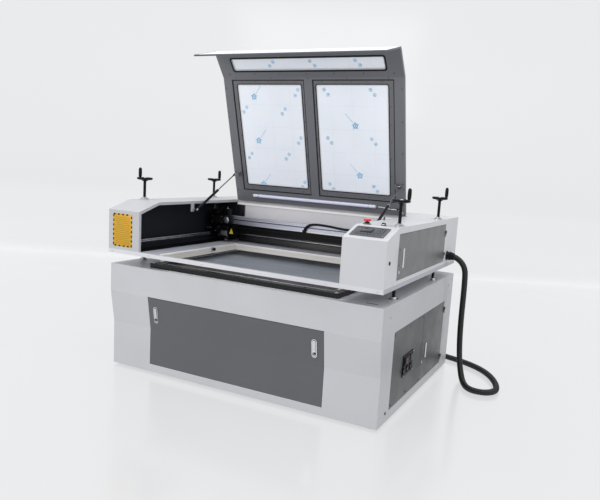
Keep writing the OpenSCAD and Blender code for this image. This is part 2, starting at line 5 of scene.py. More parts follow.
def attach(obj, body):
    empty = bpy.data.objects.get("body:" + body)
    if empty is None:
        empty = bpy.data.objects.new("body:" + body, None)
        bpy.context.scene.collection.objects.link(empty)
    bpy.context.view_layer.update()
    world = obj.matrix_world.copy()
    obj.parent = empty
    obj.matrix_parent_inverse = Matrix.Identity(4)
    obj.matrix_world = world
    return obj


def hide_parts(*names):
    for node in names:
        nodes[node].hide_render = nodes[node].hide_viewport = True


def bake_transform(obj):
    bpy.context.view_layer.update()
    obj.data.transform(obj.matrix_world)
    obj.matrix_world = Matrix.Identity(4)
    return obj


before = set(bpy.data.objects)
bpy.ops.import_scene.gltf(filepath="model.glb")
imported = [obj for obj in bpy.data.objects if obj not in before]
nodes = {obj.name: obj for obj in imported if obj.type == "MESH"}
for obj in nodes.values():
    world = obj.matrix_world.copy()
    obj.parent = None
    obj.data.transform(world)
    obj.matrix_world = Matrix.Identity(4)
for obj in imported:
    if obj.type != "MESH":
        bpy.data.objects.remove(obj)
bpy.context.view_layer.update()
random.seed(7)


# ---------------------------------------------------------------- camera
def make_camera():
    yaw, pitch, roll = 0.446, -0.151, 0.065
    f = Vector((-math.sin(yaw) * math.cos(pitch), math.cos(yaw) * math.cos(pitch), math.sin(pitch)))
    r = Vector((math.cos(yaw), math.sin(yaw), 0))
    u = r.cross(f)
    r2 = math.cos(roll) * r + math.sin(roll) * u
    u2 = -math.sin(roll) * r + math.cos(roll) * u
    cam = bpy.data.cameras.new("camera")
    cam.sensor_width = 36
    cam.lens = 36 * 607.144 / 600
    cam.shift_x = (300 - 325.215) / 600
    cam.shift_y = (258.258 - 250) / 600
    cam.clip_end = 100
    ob = bpy.data.objects.new("camera", cam)
    bpy.context.scene.collection.objects.link(ob)
    m = Matrix((
        (r2.x, u2.x, -f.x, 1.934199),
        (r2.y, u2.y, -f.y, -3.540033),
        (r2.z, u2.z, -f.z, 1.369951),
        (0, 0, 0, 1)))
    ob.matrix_world = m
    bpy.context.scene.camera = ob
    return ob


make_camera()


# ---------------------------------------------------------------- materials
def _nt(name):
    m = bpy.data.materials.new(name)
    m.use_nodes = True
    nt = m.node_tree
    b = nt.nodes["Principled BSDF"]
    return m, nt, b


def _coord(nt, scale=(1, 1, 1)):
    tc = nt.nodes.new("ShaderNodeTexCoord")
    mp = nt.nodes.new("ShaderNodeMapping")
    mp.inputs["Scale"].default_value = scale
    nt.links.new(tc.outputs["Object"], mp.inputs["Vector"])
    return mp.outputs["Vector"]


def _noise(nt, vec, scale, detail=3, rough=0.55):
    n = nt.nodes.new("ShaderNodeTexNoise")
    n.inputs["Scale"].default_value = scale
    n.inputs["Detail"].default_value = detail
    n.inputs["Roughness"].default_value = rough
    nt.links.new(vec, n.inputs["Vector"])
    return n.outputs["Fac"]


def _ramp(nt, fac, stops):
    r = nt.nodes.new("ShaderNodeValToRGB")
    e = r.color_ramp.elements
    while len(e) < len(stops):
        e.new(0.5)
    for i, (p, c) in enumerate(stops):
        e[i].position = p
        e[i].color = (*c, 1) if len(c) == 3 else c
    nt.links.new(fac, r.inputs["Fac"])
    return r.outputs["Color"]


def _range(nt, fac, lo, hi, a=0.3, b=0.7):
    r = nt.nodes.new("ShaderNodeMapRange")
    r.inputs["From Min"].default_value = a
    r.inputs["From Max"].default_value = b
    r.inputs["To Min"].default_value = lo
    r.inputs["To Max"].default_value = hi
    nt.links.new(fac, r.inputs["Value"])
    return r.outputs["Result"]


def _bump(nt, b, fac, strength, dist):
    n = nt.nodes.new("ShaderNodeBump")
    n.inputs["Strength"].default_value = strength
    n.inputs["Distance"].default_value = dist
    nt.links.new(fac, n.inputs["Height"])
    nt.links.new(n.outputs["Normal"], b.inputs["Normal"])
    return n


def mul(c, k):
    return tuple(min(1, x * k) for x in c)


def paint(name, col, rough=0.42, peel=900, strength=0.12, var=0.035, coat=0.0, spec=None):
    """Powder coat or paint: orange-peel bump, faint blotches in colour and sheen."""
    m, nt, b = _nt(name)
    v = _coord(nt)
    big = _noise(nt, v, 2.2, 4)
    fine = _noise(nt, v, peel, 2)
    nt.links.new(_ramp(nt, big, [(0.3, mul(col, 1 - var)), (0.7, mul(col, 1 + var))]), b.inputs["Base Color"])
    nt.links.new(_range(nt, _noise(nt, v, 9, 5), rough - 0.05, rough + 0.06), b.inputs["Roughness"])
    _bump(nt, b, fine, strength, 0.0004)
    b.inputs["Metallic"].default_value = 0.0
    if spec is not None:
        b.inputs["Specular IOR Level"].default_value = spec
    if coat:
        b.inputs["Coat Weight"].default_value = coat
        b.inputs["Coat Roughness"].default_value = 0.15
    return m


def metal(name, col, rough=0.25, grain=(1, 1, 1), gscale=400, strength=0.05, var=0.06):
    m, nt, b = _nt(name)
    v = _coord(nt, grain)
    g = _noise(nt, v, gscale, 3)
    nt.links.new(_ramp(nt, g, [(0.3, mul(col, 1 - var)), (0.7, mul(col, 1 + var))]), b.inputs["Base Color"])
    nt.links.new(_range(nt, g, max(0.03, rough - 0.06), rough + 0.08), b.inputs["Roughness"])
    b.inputs["Metallic"].default_value = 1.0
    _bump(nt, b, g, strength, 0.0002)
    return m


def plastic(name, col, rough=0.45, tex=1400, strength=0.15, var=0.08, spec=None, glow=None):
    m, nt, b = _nt(name)
    if spec is not None:
        b.inputs["Specular IOR Level"].default_value = spec
    if glow:
        b.inputs["Emission Color"].default_value = (*glow[:3], 1)
        b.inputs["Emission Strength"].default_value = glow[3]
    v = _coord(nt)
    nt.links.new(_ramp(nt, _noise(nt, v, 14, 3), [(0.3, mul(col, 1 - var)), (0.7, mul(col, 1 + var))]), b.inputs["Base Color"])
    nt.links.new(_range(nt, _noise(nt, v, 30, 3), rough - 0.06, rough + 0.06), b.inputs["Roughness"])
    _bump(nt, b, _noise(nt, v, tex, 2), strength, 0.0003)
    return m


WHITE = (0.58, 0.583, 0.60)
def slat_material():
    """Anodised slats: satin sheen with fine draw lines along X."""
    m, nt, b = _nt("slat_aluminium")
    v = _coord(nt, (0.6, 90, 90))
    g = _noise(nt, v, 14, 4)
    big = _noise(nt, _coord(nt, (0.5, 3, 3)), 3, 3)
    mix = nt.nodes.new("ShaderNodeMath"); mix.operation = "ADD"
    nt.links.new(g, mix.inputs[0]); nt.links.new(big, mix.inputs[1])
    half = nt.nodes.new("ShaderNodeMath"); half.operation = "MULTIPLY"; half.inputs[1].default_value = 0.5
    nt.links.new(mix.outputs[0], half.inputs[0])
    nt.links.new(_ramp(nt, half.outputs[0], [(0.32, (0.20, 0.225, 0.265)), (0.5, (0.285, 0.315, 0.36)), (0.68, (0.39, 0.42, 0.47))]), b.inputs["Base Color"])
    nt.links.new(_range(nt, g, 0.30, 0.46), b.inputs["Roughness"])
    b.inputs["Metallic"].default_value = 0.35
    _bump(nt, b, g, 0.12, 0.0004)
    return m


M = {
    "casing": paint("casing_white", WHITE, 0.40),
    # shaded copy of the white casing for the base's side skins: painted shade
    "casing_side": paint("casing_side", (0.495, 0.50, 0.515), 0.40),
    "panel": paint("panel_grey", (0.106, 0.110, 0.119), 0.40),
    "door": paint("door_grey", (0.123, 0.124, 0.126), 0.36),
    "door_base": paint("door_base_grey", (0.045, 0.053, 0.055), 0.36),
    "tray": paint("tray_lavender", (0.42, 0.425, 0.475), 0.40),
    "tray_front": paint("tray_front_white", (0.70, 0.70, 0.72), 0.36),
    "cream": paint("flange_cream", (0.78, 0.74, 0.68), 0.42),
    "lid": paint("lid_grey", (0.166, 0.170, 0.184), 0.42),
    "lid_white": paint("lid_white", (0.85, 0.85, 0.89), 0.35),
    "black": paint("black_paint", (0.0035, 0.0035, 0.004), 0.36, spec=0.2),
    "frame": paint("frame_black", (0.008, 0.0077, 0.0084), 0.28, spec=0.3),
    "primer": paint("frame_primer", (0.06, 0.06, 0.065), 0.6),
    "dark": paint("inner_dark", (0.017, 0.020, 0.026), 0.5, spec=0.2),
    "chrome": metal("chrome", (0.66, 0.66, 0.68), 0.13, strength=0.02),
    "zinc": metal("zinc", (0.66, 0.66, 0.68), 0.32, gscale=120),
    "steel": metal("steel", (0.56, 0.56, 0.58), 0.28, grain=(1, 40, 40), gscale=30),
    "alu": metal("aluminium", (0.60, 0.61, 0.68), 0.36, grain=(1, 60, 60), gscale=20),
    "slat": slat_material(),
    "blackp": plastic("black_plastic", (0.0035, 0.0035, 0.004), 0.40, spec=0.22),
    "red": plastic("red_plastic", (0.72, 0.02, 0.012), 0.28, strength=0.03),
    "rubber": plastic("hose_rubber", (0.008, 0.0085, 0.008), 0.36, tex=700, spec=0.42),
    "lampm": plastic("lamp_diffuser", (0.70, 0.70, 0.84), 0.35, strength=0.03, var=0.02, glow=(0.80, 0.82, 1.0, 0.12)),
    "whitep": plastic("white_plastic", (0.85, 0.85, 0.86), 0.35, strength=0.03, var=0.02),
    "lcd": plastic("lcd", (0.030, 0.044, 0.052), 0.12, strength=0.0),
    "green": plastic("board_green", (0.02, 0.16, 0.07), 0.4),
    "brass": metal("brass", (0.80, 0.58, 0.24), 0.25),
}


def film_material():
    """Clear sheet under a milky protective film, printed with a faint square grid; its faint glow is painted light
    standing for the backdrop shining through the pane.
    """
    m, nt, b = _nt("window_film")
    tc = nt.nodes.new("ShaderNodeTexCoord")
    a = math.radians(74.4)
    masks = []
    for d, off in (((1, 0, 0), 0.031), ((0, -math.cos(a), math.sin(a)), 0.047)):
        dot = nt.nodes.new("ShaderNodeVectorMath"); dot.operation = "DOT_PRODUCT"
        dot.inputs[1].default_value = d
        nt.links.new(tc.outputs["Object"], dot.inputs[0])
        add = nt.nodes.new("ShaderNodeMath"); add.operation = "ADD"; add.inputs[1].default_value = off + 10
        nt.links.new(dot.outputs["Value"], add.inputs[0])
        div = nt.nodes.new("ShaderNodeMath"); div.operation = "DIVIDE"; div.inputs[1].default_value = 0.152
        nt.links.new(add.outputs[0], div.inputs[0])
        fr = nt.nodes.new("ShaderNodeMath"); fr.operation = "FRACT"
        nt.links.new(div.outputs[0], fr.inputs[0])
        lt = nt.nodes.new("ShaderNodeMath"); lt.operation = "LESS_THAN"; lt.inputs[1].default_value = 0.035
        nt.links.new(fr.outputs[0], lt.inputs[0])
        masks.append(lt.outputs[0])
    mx = nt.nodes.new("ShaderNodeMath"); mx.operation = "MAXIMUM"
    nt.links.new(masks[0], mx.inputs[0]); nt.links.new(masks[1], mx.inputs[1])
    v = _coord(nt)
    base = _ramp(nt, _noise(nt, v, 5, 4), [(0.3, (0.76, 0.79, 0.84)), (0.7, (0.82, 0.845, 0.89))])
    mix = nt.nodes.new("ShaderNodeMix"); mix.data_type = "RGBA"
    sc = nt.nodes.new("ShaderNodeMath"); sc.operation = "MULTIPLY"; sc.inputs[1].default_value = 0.22
    nt.links.new(mx.outputs[0], sc.inputs[0])
    nt.links.new(sc.outputs[0], mix.inputs[0])
    nt.links.new(base, mix.inputs[6])
    mix.inputs[7].default_value = (0.60, 0.60, 0.61, 1)
    nt.links.new(mix.outputs[2], b.inputs["Base Color"])
    b.inputs["Roughness"].default_value = 0.28
    # faint glow: painted light standing for the backdrop shining through the pane
    b.inputs["Emission Color"].default_value = (0.84, 0.90, 1.0, 1)
    b.inputs["Emission Strength"].default_value = 0.20
    _bump(nt, b, _noise(nt, v, 60, 3), 0.15, 0.0006)
    return m


M["film"] = film_material()
M["gasket"] = plastic("gasket_black", (0.010, 0.010, 0.011), 0.5, spec=0.3)
M["frame_brown"] = metal("frame_brown", (0.115, 0.105, 0.102), 0.42)
# lit and shaded copies of the white casing for the two head housings, the left darker and the right lighter: painted
# shade and painted light
M["casing_left"] = paint("casing_left", mul(WHITE, 0.90), 0.42)
M["casing_right"] = paint("casing_right", mul(WHITE, 1.07), 0.40)
# inner rear cover paint lighter than the casing white, with a faint glow: painted light offsetting the shade under the
# open lid
M["cover"] = paint("inner_cover", (0.76, 0.75, 0.775), 0.36)
M["cover"].node_tree.nodes["Principled BSDF"].inputs["Emission Color"].default_value = (1.0, 0.985, 0.985, 1)
M["cover"].node_tree.nodes["Principled BSDF"].inputs["Emission Strength"].default_value = 0.04
# cream hem with a glow: painted light, the strip sits in the open lid's shade
M["hemlip"] = paint("bright_hem", (0.90, 0.87, 0.84), 0.34)
M["hemlip"].node_tree.nodes["Principled BSDF"].inputs["Emission Color"].default_value = (1.0, 0.97, 0.95, 1)
M["hemlip"].node_tree.nodes["Principled BSDF"].inputs["Emission Strength"].default_value = 0.16
# Y rail metal brighter than bare steel, painted light offsetting the shade the rails sit in (the trough's edge rod
# shares it); rail_top is a painted highlight on the rails' upward faces
M["rail"] = metal("rail_ground", (0.86, 0.86, 0.88), 0.30, grain=(60, 1, 60), gscale=20)
M["rail_top"] = paint("rail_top_bright", (0.88, 0.88, 0.90), 0.25)
M["beamface"] = metal("beam_extrusion", (0.62, 0.63, 0.71), 0.38, grain=(1, 60, 60), gscale=20)
M["brightlip"] = paint("bright_lip", (0.90, 0.87, 0.84), 0.35)
M["rod"] = metal("spring_rod", (0.16, 0.16, 0.17), 0.22, strength=0.02)
M["lidscrew"] = metal("lid_screw", (0.12, 0.12, 0.125), 0.35)
M["trim"] = paint("lip_trim", (0.10, 0.115, 0.135), 0.38)
M["retainer"] = paint("lid_retainer", (0.155, 0.158, 0.17), 0.40)
# dark, blotchy trough sheet: painted shade under the beam
M["trough"] = metal("trough_sheet", (0.12, 0.115, 0.11), 0.30, grain=(1, 30, 30), gscale=24, var=0.25)
M["panel_dark"] = plastic("keypad_film", (0.055, 0.06, 0.075), 0.3, strength=0.03)
M["key_grey"] = plastic("keypad_key", (0.10, 0.106, 0.12), 0.35, strength=0.03)
M["key_blue"] = plastic("keypad_key_blue", (0.055, 0.08, 0.12), 0.35, strength=0.03)
M["mark"] = plastic("film_mark_blue", (0.24, 0.55, 0.80), 0.4, strength=0.0, var=0.25)


def label_material():
    """Generic amber notice face with faint blotches and no lettering; the grey-black dashes that stand for print are
    built as boxes on the plate.
    """
    m, nt, b = _nt("notice_amber")
    v = _coord(nt)
    col = _ramp(nt, _noise(nt, v, 40, 4), [(0.3, (0.63, 0.335, 0.004)), (0.7, (0.68, 0.38, 0.008))])
    nt.links.new(col, b.inputs["Base Color"])
    b.inputs["Roughness"].default_value = 0.4
    return m


M["amber"] = label_material()
M["print"] = plastic("print_brown", (0.30, 0.17, 0.02), 0.5, strength=0.0)
M["yellow"] = plastic("notice_yellow", (0.75, 0.62, 0.05), 0.45, strength=0.0)


def glass_material():
    m, nt, b = _nt("tube_glass")
    v = _coord(nt)
    nt.links.new(_ramp(nt, _noise(nt, v, 12, 2), [(0.3, (0.78, 0.90, 0.93)), (0.7, (0.86, 0.95, 0.97))]), b.inputs["Base Color"])
    b.inputs["Roughness"].default_value = 0.06
    b.inputs["Alpha"].default_value = 0.45
    return m


M["glass"] = glass_material()

CAD_MATS = {
    "base_frame": "primer", "base_front_skin": "casing", "base_left_skin": "casing_side", "base_right_skin": "casing_side",
    "base_rear_skin": "casing", "base_deck": "casing", "levelling_feet": "zinc", "right_fixed_panel": "door_base",
    "socket_plate": "blackp", "electronics_plate": "zinc", "table_frame": "frame", "table_slats": "slat",
    "jack_cups": "chrome", "base_hose_gland": "blackp", "front_panel": "panel", "latch_left": "chrome",
    "latch_right": "chrome", "base_right_door": "door_base", "base_right_handle": "chrome", "base_left_door": "door_base",
    "head_tray": "tray", "left_housing": "casing_left", "right_housing": "casing_right", "rear_housing": "casing",
    "inner_rear_cover": "cover", "work_flange": "cream", "jack_nuts": "zinc", "y_rails": "rail",
    "control_panel": "panel", "stop_switch_base": "blackp", "stop_button": "red", "key_switch": "chrome",
    "head_hose_gland": "blackp", "exhaust_spigot": "zinc", "head_right_door": "door", "head_right_handle": "chrome",
    "laser_tube": "glass", "tube_brackets": "blackp", "gantry_beam": "beamface", "x_rail": "black",
    "beam_carriages": "black", "beam_conduit": "blackp", "laser_head": "black", "lid_frame": "lid",
    "lid_windows": "film", "lid_front_plate": "lid_white", "lid_lamp": "lampm",
    "gas_spring_tube_left": "black", "gas_spring_tube_right": "black", "gas_spring_rod_left": "rod",
    "gas_spring_rod_right": "rod",
}
for n, o in nodes.items():
    key = CAD_MATS.get(n, "black" if n.startswith("handwheel") else "blackp")
    o.data.materials.clear()
    o.data.materials.append(M[key])


def split_material(node, extra, test):
    """Second material on the faces of a CAD node whose centre passes the test."""
    o = nodes[node]
    o.data.materials.append(M[extra])
    k = len(o.data.materials) - 1
    for p in o.data.polygons:
        if test(p.center, p.normal):
            p.material_index = k


# ---------------------------------------------------------------- mesh builder
class Build:
    def __init__(self, name):
        self.name, self.bm, self.mats = name, bmesh.new(), []

    def _mi(self, m):
        if m not in self.mats:
            self.mats.append(m)
        return self.mats.index(m)

    def _add(self, vs, fs, m, smooth=False, mw=None):
        k = self._mi(m)
        bv = [self.bm.verts.new(mw @ Vector(v) if mw else Vector(v)) for v in vs]
        for f in fs:
            try:
                fc = self.bm.faces.new([bv[i] for i in f])
                fc.material_index = k
                fc.smooth = smooth
            except ValueError:
                pass
        return self

    def box(self, lo, hi, m, r=0.001, mw=None, seg=2):
        """Box with rounded edges."""
        k = self._mi(m)
        t = bmesh.new()
        bmesh.ops.create_cube(t, size=1)
        lo, hi = Vector(lo), Vector(hi)
        for v in t.verts:
            v.co = Vector([(lo[i] + hi[i]) / 2 + v.co[i] * (hi[i] - lo[i]) for i in range(3)])
        r = min(r, min(hi[i] - lo[i] for i in range(3)) * 0.45)
        if r > 0:
            bmesh.ops.bevel(t, geom=list(t.edges), offset=r, segments=seg, affect="EDGES", profile=0.5)
        self._merge(t, k, mw, True)
        return self

    def _merge(self, t, k, mw, smooth):
        mp = {}
        for v in t.verts:
            mp[v] = self.bm.verts.new(mw @ v.co if mw else v.co)
        for f in t.faces:
            nf = self.bm.faces.new([mp[v] for v in f.verts])
            nf.material_index = k
            nf.smooth = smooth
        t.free()

    def lathe(self, p, axis, prof, m, seg=32, mw=None):
        """Solid of revolution about axis through p: prof is [(r, h)...], closed at both ends."""
        a = Vector(axis).normalized()
        u = a.orthogonal().normalized()
        w = a.cross(u)
        p = Vector(p)
        vs, fs, rings = [], [], []
        for r, h in prof:
            if r < 1e-7:
                rings.append([len(vs)])
                vs.append(p + a * h)
            else:
                rings.append(list(range(len(vs), len(vs) + seg)))
                for i in range(seg):
                    t = 2 * math.pi * i / seg
                    vs.append(p + a * h + r * (math.cos(t) * u + math.sin(t) * w))
        for A, B in zip(rings, rings[1:]):
            for i in range(seg):
                j = (i + 1) % seg
                if len(A) == 1 and len(B) == 1:
                    continue
                if len(A) == 1:
                    fs.append([A[0], B[j], B[i]])
                elif len(B) == 1:
                    fs.append([A[i], A[j], B[0]])
                else:
                    fs.append([A[i], A[j], B[j], B[i]])
        if len(rings[0]) > 1:
            fs.append(list(reversed(rings[0])))
        if len(rings[-1]) > 1:
            fs.append(list(rings[-1]))
        return self._add(vs, fs, m, True, mw)

    def ring(self, p, axis, prof, m, seg=48, mw=None):
        """Closed ring of revolution: prof is a closed loop of (r, h)."""
        a = Vector(axis).normalized()
        u = a.orthogonal().normalized()
        w = a.cross(u)
        p = Vector(p)
        n = len(prof)
        vs = [p + a * h + r * (math.cos(2 * math.pi * i / seg) * u + math.sin(2 * math.pi * i / seg) * w) for i in range(seg) for r, h in prof]
        fs = [[i * n + j, ((i + 1) % seg) * n + j, ((i + 1) % seg) * n + (j + 1) % n, i * n + (j + 1) % n] for i in range(seg) for j in range(n)]
        return self._add(vs, fs, m, True, mw)

    def prism(self, pts, depth, m, mw=None, bevel=0.0):
        """Outline pts in local XY, thickness depth along local +Z; the front edge is rounded when bevel is given."""
        k = self._mi(m)
        t = bmesh.new()
        f = t.faces.new([t.verts.new((x, y, 0)) for x, y in pts])
        e = bmesh.ops.extrude_face_region(t, geom=[f])
        for v in [g for g in e["geom"] if isinstance(g, bmesh.types.BMVert)]:
            v.co.z += depth
        bmesh.ops.recalc_face_normals(t, faces=t.faces)
        if bevel:
            ed = [x for x in t.edges if all(abs(v.co.z - depth) < 1e-7 for v in x.verts)]
            bmesh.ops.bevel(t, geom=ed, offset=bevel, segments=2, affect="EDGES", profile=0.5)
        self._merge(t, k, mw, False)
        return self

    def tube(self, pts, r, m, sides=12, cap=True, closed=False):
        """Round tube along points; r is a number or one radius for each point."""
        pts = [Vector(p) for p in pts]
        n = len(pts)
        rr = r if isinstance(r, (list, tuple)) else [r] * n
        tan = []
        for i in range(n):
            a = pts[max(0, i - 1)]
            b = pts[min(n - 1, i + 1)]
            tan.append((b - a).normalized())
        u = tan[0].orthogonal().normalized()
        vs, fs = [], []
        for i in range(n):
            u = (u - u.dot(tan[i]) * tan[i]).normalized()
            w = tan[i].cross(u)
            for j in range(sides):
                t = 2 * math.pi * j / sides
                vs.append(pts[i] + rr[i] * (math.cos(t) * u + math.sin(t) * w))
        for i in range(n - 1):
            for j in range(sides):
                k = (j + 1) % sides
                fs.append([i * sides + j, i * sides + k, (i + 1) * sides + k, (i + 1) * sides + j])
        if cap:
            fs.append([j for j in range(sides - 1, -1, -1)])
            fs.append([(n - 1) * sides + j for j in range(sides)])
        return self._add(vs, fs, m, True)

    def screw(self, p, axis, r, m, h=0.0022):
        """Domed screw head with a round socket."""
        a = Vector(axis).normalized()
        self.lathe(p, axis, [(r, 0), (r, h * 0.5), (r * 0.86, h * 0.85), (r * 0.55, h), (r * 0.5, h), (r * 0.5, h * 0.35), (0, h * 0.3)], m, 20)
        return self

    def done(self, body, slot=None, auto=True, replaces=()):
        me = bpy.data.meshes.new(self.name)
        bmesh.ops.recalc_face_normals(self.bm, faces=self.bm.faces)
        self.bm.to_mesh(me)
        self.bm.free()
        ob = bpy.data.objects.new(self.name, me)
        bpy.context.scene.collection.objects.link(ob)
        for m in self.mats:
            me.materials.append(M[m])
        if auto:
            for e in me.edges:
                pass
            me.set_sharp_from_angle(angle=math.radians(38))
        if body:
            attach(ob, body)
        if replaces:
            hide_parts(*replaces)
        return ob


def mm(*v):
    return tuple(x / 1000 for x in v)


def smooth_path(pts, n):
    """Catmull-Rom through pts, n steps a span."""
    P = [Vector(p) for p in pts]
    P = [2 * P[0] - P[1]] + P + [2 * P[-1] - P[-2]]
    out = []
    for i in range(1, len(P) - 2):
        a, b, c, d = P[i - 1], P[i], P[i + 1], P[i + 2]
        for k in range(n):
            t = k / n
            out.append(0.5 * ((2 * b) + (c - a) * t + (2 * a - 5 * b + 4 * c - d) * t * t + (3 * b - a - 3 * c + d) * t ** 3))
    out.append(P[-2])
    return out


# ---------------------------------------------------------------- hose (the free cord)
HOSE = [[939.4, 465, 826], [965, 465, 824], [992, 465, 815], [1016, 466, 799], [1036, 467, 777], [1049, 468, 751],
        [1056, 470, 715], [1058, 473, 650], [1058, 477, 580], [1057, 482, 500], [1056, 488, 420], [1056, 494, 340], [1058, 499, 265],
        [1062, 500, 200], [1069, 493, 143], [1080, 476, 95], [1096, 447, 56], [1115, 405, 31], [1136, 355, 21], [1158, 305, 20],
        [1183, 262, 20], [1220, 231, 20], [1266, 223, 20], [1310, 237, 20], [1342, 272, 20], [1356, 320, 20], [1350, 380, 20],
        [1330, 450, 20], [1298, 525, 20], [1256, 598, 20], [1202, 665, 20], [1136, 722, 20], [1060, 768, 20], [970, 806, 20],
        [870, 838, 22], [778, 853, 38], [704, 840, 68], [658, 802, 100], [641, 760, 118], [640, 731, 120]]
HR = 0.020


def make_hose():
    fine = smooth_path([mm(*p) for p in HOSE], 24)
    # resample by length
    d = [0.0]
    for a, b in zip(fine, fine[1:]):
        d.append(d[-1] + (b - a).length)
    L = d[-1]
    rib = 0.0085
    nr = int(L / rib)
    pts, rad = [], []
    k = 0
    for i in range(nr * 4 + 1):
        s = L * i / (nr * 4)
        while k < len(d) - 2 and d[k + 1] < s:
            k += 1
        t = (s - d[k]) / max(1e-9, d[k + 1] - d[k])
        pts.append(fine[k].lerp(fine[k + 1], min(1, t)))
        rad.append(HR - (0.0, 0.0008, 0.0026, 0.0008)[i % 4])
    b = Build("hose_ribbed")
    b.tube(pts, rad, "rubber", 18)
    ob = b.done(None, auto=False)
    return ob, L, pts[::8] + [pts[-1]]


hose, HOSE_L, hose_pts = make_hose()
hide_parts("hose")
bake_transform(hose)


# ================================================================ detail pieces
LIDM = (Matrix.Translation((0, 0.326, 1.0806)) @ Matrix.Rotation(math.radians(-74.4), 4, "X") @ Matrix.Translation((0, -0.326, -1.0806)))


def frame_at(x, y, z, rx_deg):
    return Matrix.Translation((x / 1000, y / 1000, z / 1000)) @ Matrix.Rotation(math.radians(rx_deg), 4, "X")


def stadium(w, h, n=10):
    """Upright stadium outline in XY, w wide and h high."""
    r = w / 2
    pts = []
    for i in range(n + 1):
        t = math.pi * i / n
        pts.append((r * math.cos(t), (h / 2 - r) + r * math.sin(t)))
    for i in range(n + 1):
        t = math.pi + math.pi * i / n
        pts.append((r * math.cos(t), -(h / 2 - r) + r * math.sin(t)))
    return pts


def loop_strip(b, outer, inner, d0, d1, m, mw, bevel=0.0):
    """Flat ring between two outlines with the same point count, from depth d0 to d1 along local Z."""
    n = len(outer)
    vs = [(*p, d0) for p in outer] + [(*p, d0) for p in inner] + [(*p, d1) for p in outer] + [(*p, d1) for p in inner]
    if bevel:
        def shrink(pts, k):
            cx = sum(p[0] for p in pts) / n
            cy = sum(p[1] for p in pts) / n
            return [(cx + (p[0] - cx) * (1 - k / max(1e-6, math.hypot(p[0] - cx, p[1] - cy))), cy + (p[1] - cy) * (1 - k / max(1e-6, math.hypot(p[0] - cx, p[1] - cy)))) for p in pts]
        o2, i2 = shrink(outer, bevel), shrink(inner, -bevel)
        vs = [(*p, d0) for p in outer] + [(*p, d0) for p in inner] + [(*p, d1) for p in o2] + [(*p, d1) for p in i2]
    fs = []
    for i in range(n):
        j = (i + 1) % n
        fs += [[2 * n + i, 2 * n + j, 3 * n + j, 3 * n + i], [i, n + i, n + j, j], [i, j, 2 * n + j, 2 * n + i], [n + i, 3 * n + i, 3 * n + j, n + j]]
    b._add(vs, fs, m, False, mw)


def round_rect(x0, x1, y0, y1, r, n=6):
    pts = []
    for cx, cy, a in ((x1 - r, y1 - r, 0), (x0 + r, y1 - r, 90), (x0 + r, y0 + r, 180), (x1 - r, y0 + r, 270)):
        for i in range(n + 1):
            t = math.radians(a + 90 * i / n)
            pts.append((cx + r * math.cos(t), cy + r * math.sin(t)))
    return pts


# ---- front panel: latch bezels, recess plates and white strips along its edges, a painted highlight of the gap round the panel; barrels ride the latches
def ys(z):
    return -700 + (497 - z) * 0.154589


for side, s in (("left", -1), ("right", 1)):
    # local frame with Z pointing out of the slope and Y up along it
    base = frame_at(s * 552 - 12, ys(390), 390, 8.79) @ Matrix.Rotation(math.radians(90), 4, "X")
    b = Build("latch_bezel_" + side)
    loop_strip(b, [(x / 1000, y / 1000) for x, y in stadium(34, 112)], [(x / 1000, y / 1000) for x, y in stadium(22.5, 97.5)], 0.0, 0.0052, "chrome", base, 0.0018)
    b.prism([(x / 1000, y / 1000) for x, y in stadium(24, 100)], 0.0009, "blackp", base)
    b.done("front_panel", "chrome")
    b = Build("latch_barrel_" + side)
    b.ring((0, -0.030, 0.0085), (0, 0, 1), [(0.0045, 0), (0.0085, 0), (0.0085, 0.0026), (0.0072, 0.0034), (0.0045, 0.0034)], "blackp", 28, base)
    b.lathe((0, -0.030, 0.0085), (0, 0, 1), [(0.0046, 0), (0.0046, 0.0022), (0.0, 0.0022)], "zinc", 20, base)
    b.box((-0.0008, -0.0335, 0.0105), (0.0008, -0.0265, 0.0112), "blackp", 0.0001, base)
    # raised rib and thumb dish on the paddle
    b.prism([(x / 1000, y / 1000 + 0.014) for x, y in stadium(12, 52)], 0.0080, "zinc", base, 0.0008)
    b.done("latch_" + side, "black_plastic")

# white strips along the panel's sides and bottom: painted highlight standing for light caught in the gap round the
# panel
b = Build("front_panel_reveal")
for z0, z1 in ((60, 290), (290, 496)):
    def yy(z):
        return ys(max(290, z))
    for x0, x1 in ((-624.6, -621.9), (597.9, 600.6)):
        v = [mm(x0, yy(z0) + 0.6, z0), mm(x1, yy(z0) + 0.6, z0), mm(x1, yy(z1) + 0.6, z1), mm(x0, yy(z1) + 0.6, z1),
             mm(x0, yy(z0) + 2, z0), mm(x1, yy(z0) + 2, z0), mm(x1, yy(z1) + 2, z1), mm(x0, yy(z1) + 2, z1)]
        b._add(v, [[0, 1, 2, 3], [4, 7, 6, 5], [0, 3, 7, 4], [1, 5, 6, 2], [0, 4, 5, 1], [3, 2, 6, 7]], "lid_white")
b.box(mm(-624, -668 + 1.0, 56.6), mm(600, -668 + 2.6, 59.6), "lid_white", 0.0003)
b.done("base", "casing_white")

# ---- sockets, switch and cover details on the right service panel
b = Build("socket_face")
for y in (-297, -235, -173):
    b.ring(mm(932.2, y, 232), (1, 0, 0), [(0.0165, 0), (0.0225, 0), (0.0225, 0.0016), (0.0212, 0.0026), (0.018, 0.0026), (0.0165, 0.001)], "blackp", 36)
    b.lathe(mm(932.2, y, 232), (1, 0, 0), [(0.0164, 0), (0.0164, 0.0004), (0, 0.0004)], "frame", 30)
    for dy, dz in ((-8, 4), (8, 4), (0, -7)):
        b.box(mm(932.5, y + dy - 1.4, 232 + dz - 3.2), mm(932.9, y + dy + 1.4, 232 + dz + 3.2), "zinc", 0.0003)
b.box(mm(932.1, -301, 266), mm(935.0, -221, 311), "blackp", 0.0022)
b.box(mm(935.0, -293, 272), mm(937.6, -262, 305), "frame", 0.0016)
b.box(mm(935.0, -255, 276), mm(936.2, -229, 301), "frame", 0.0008)
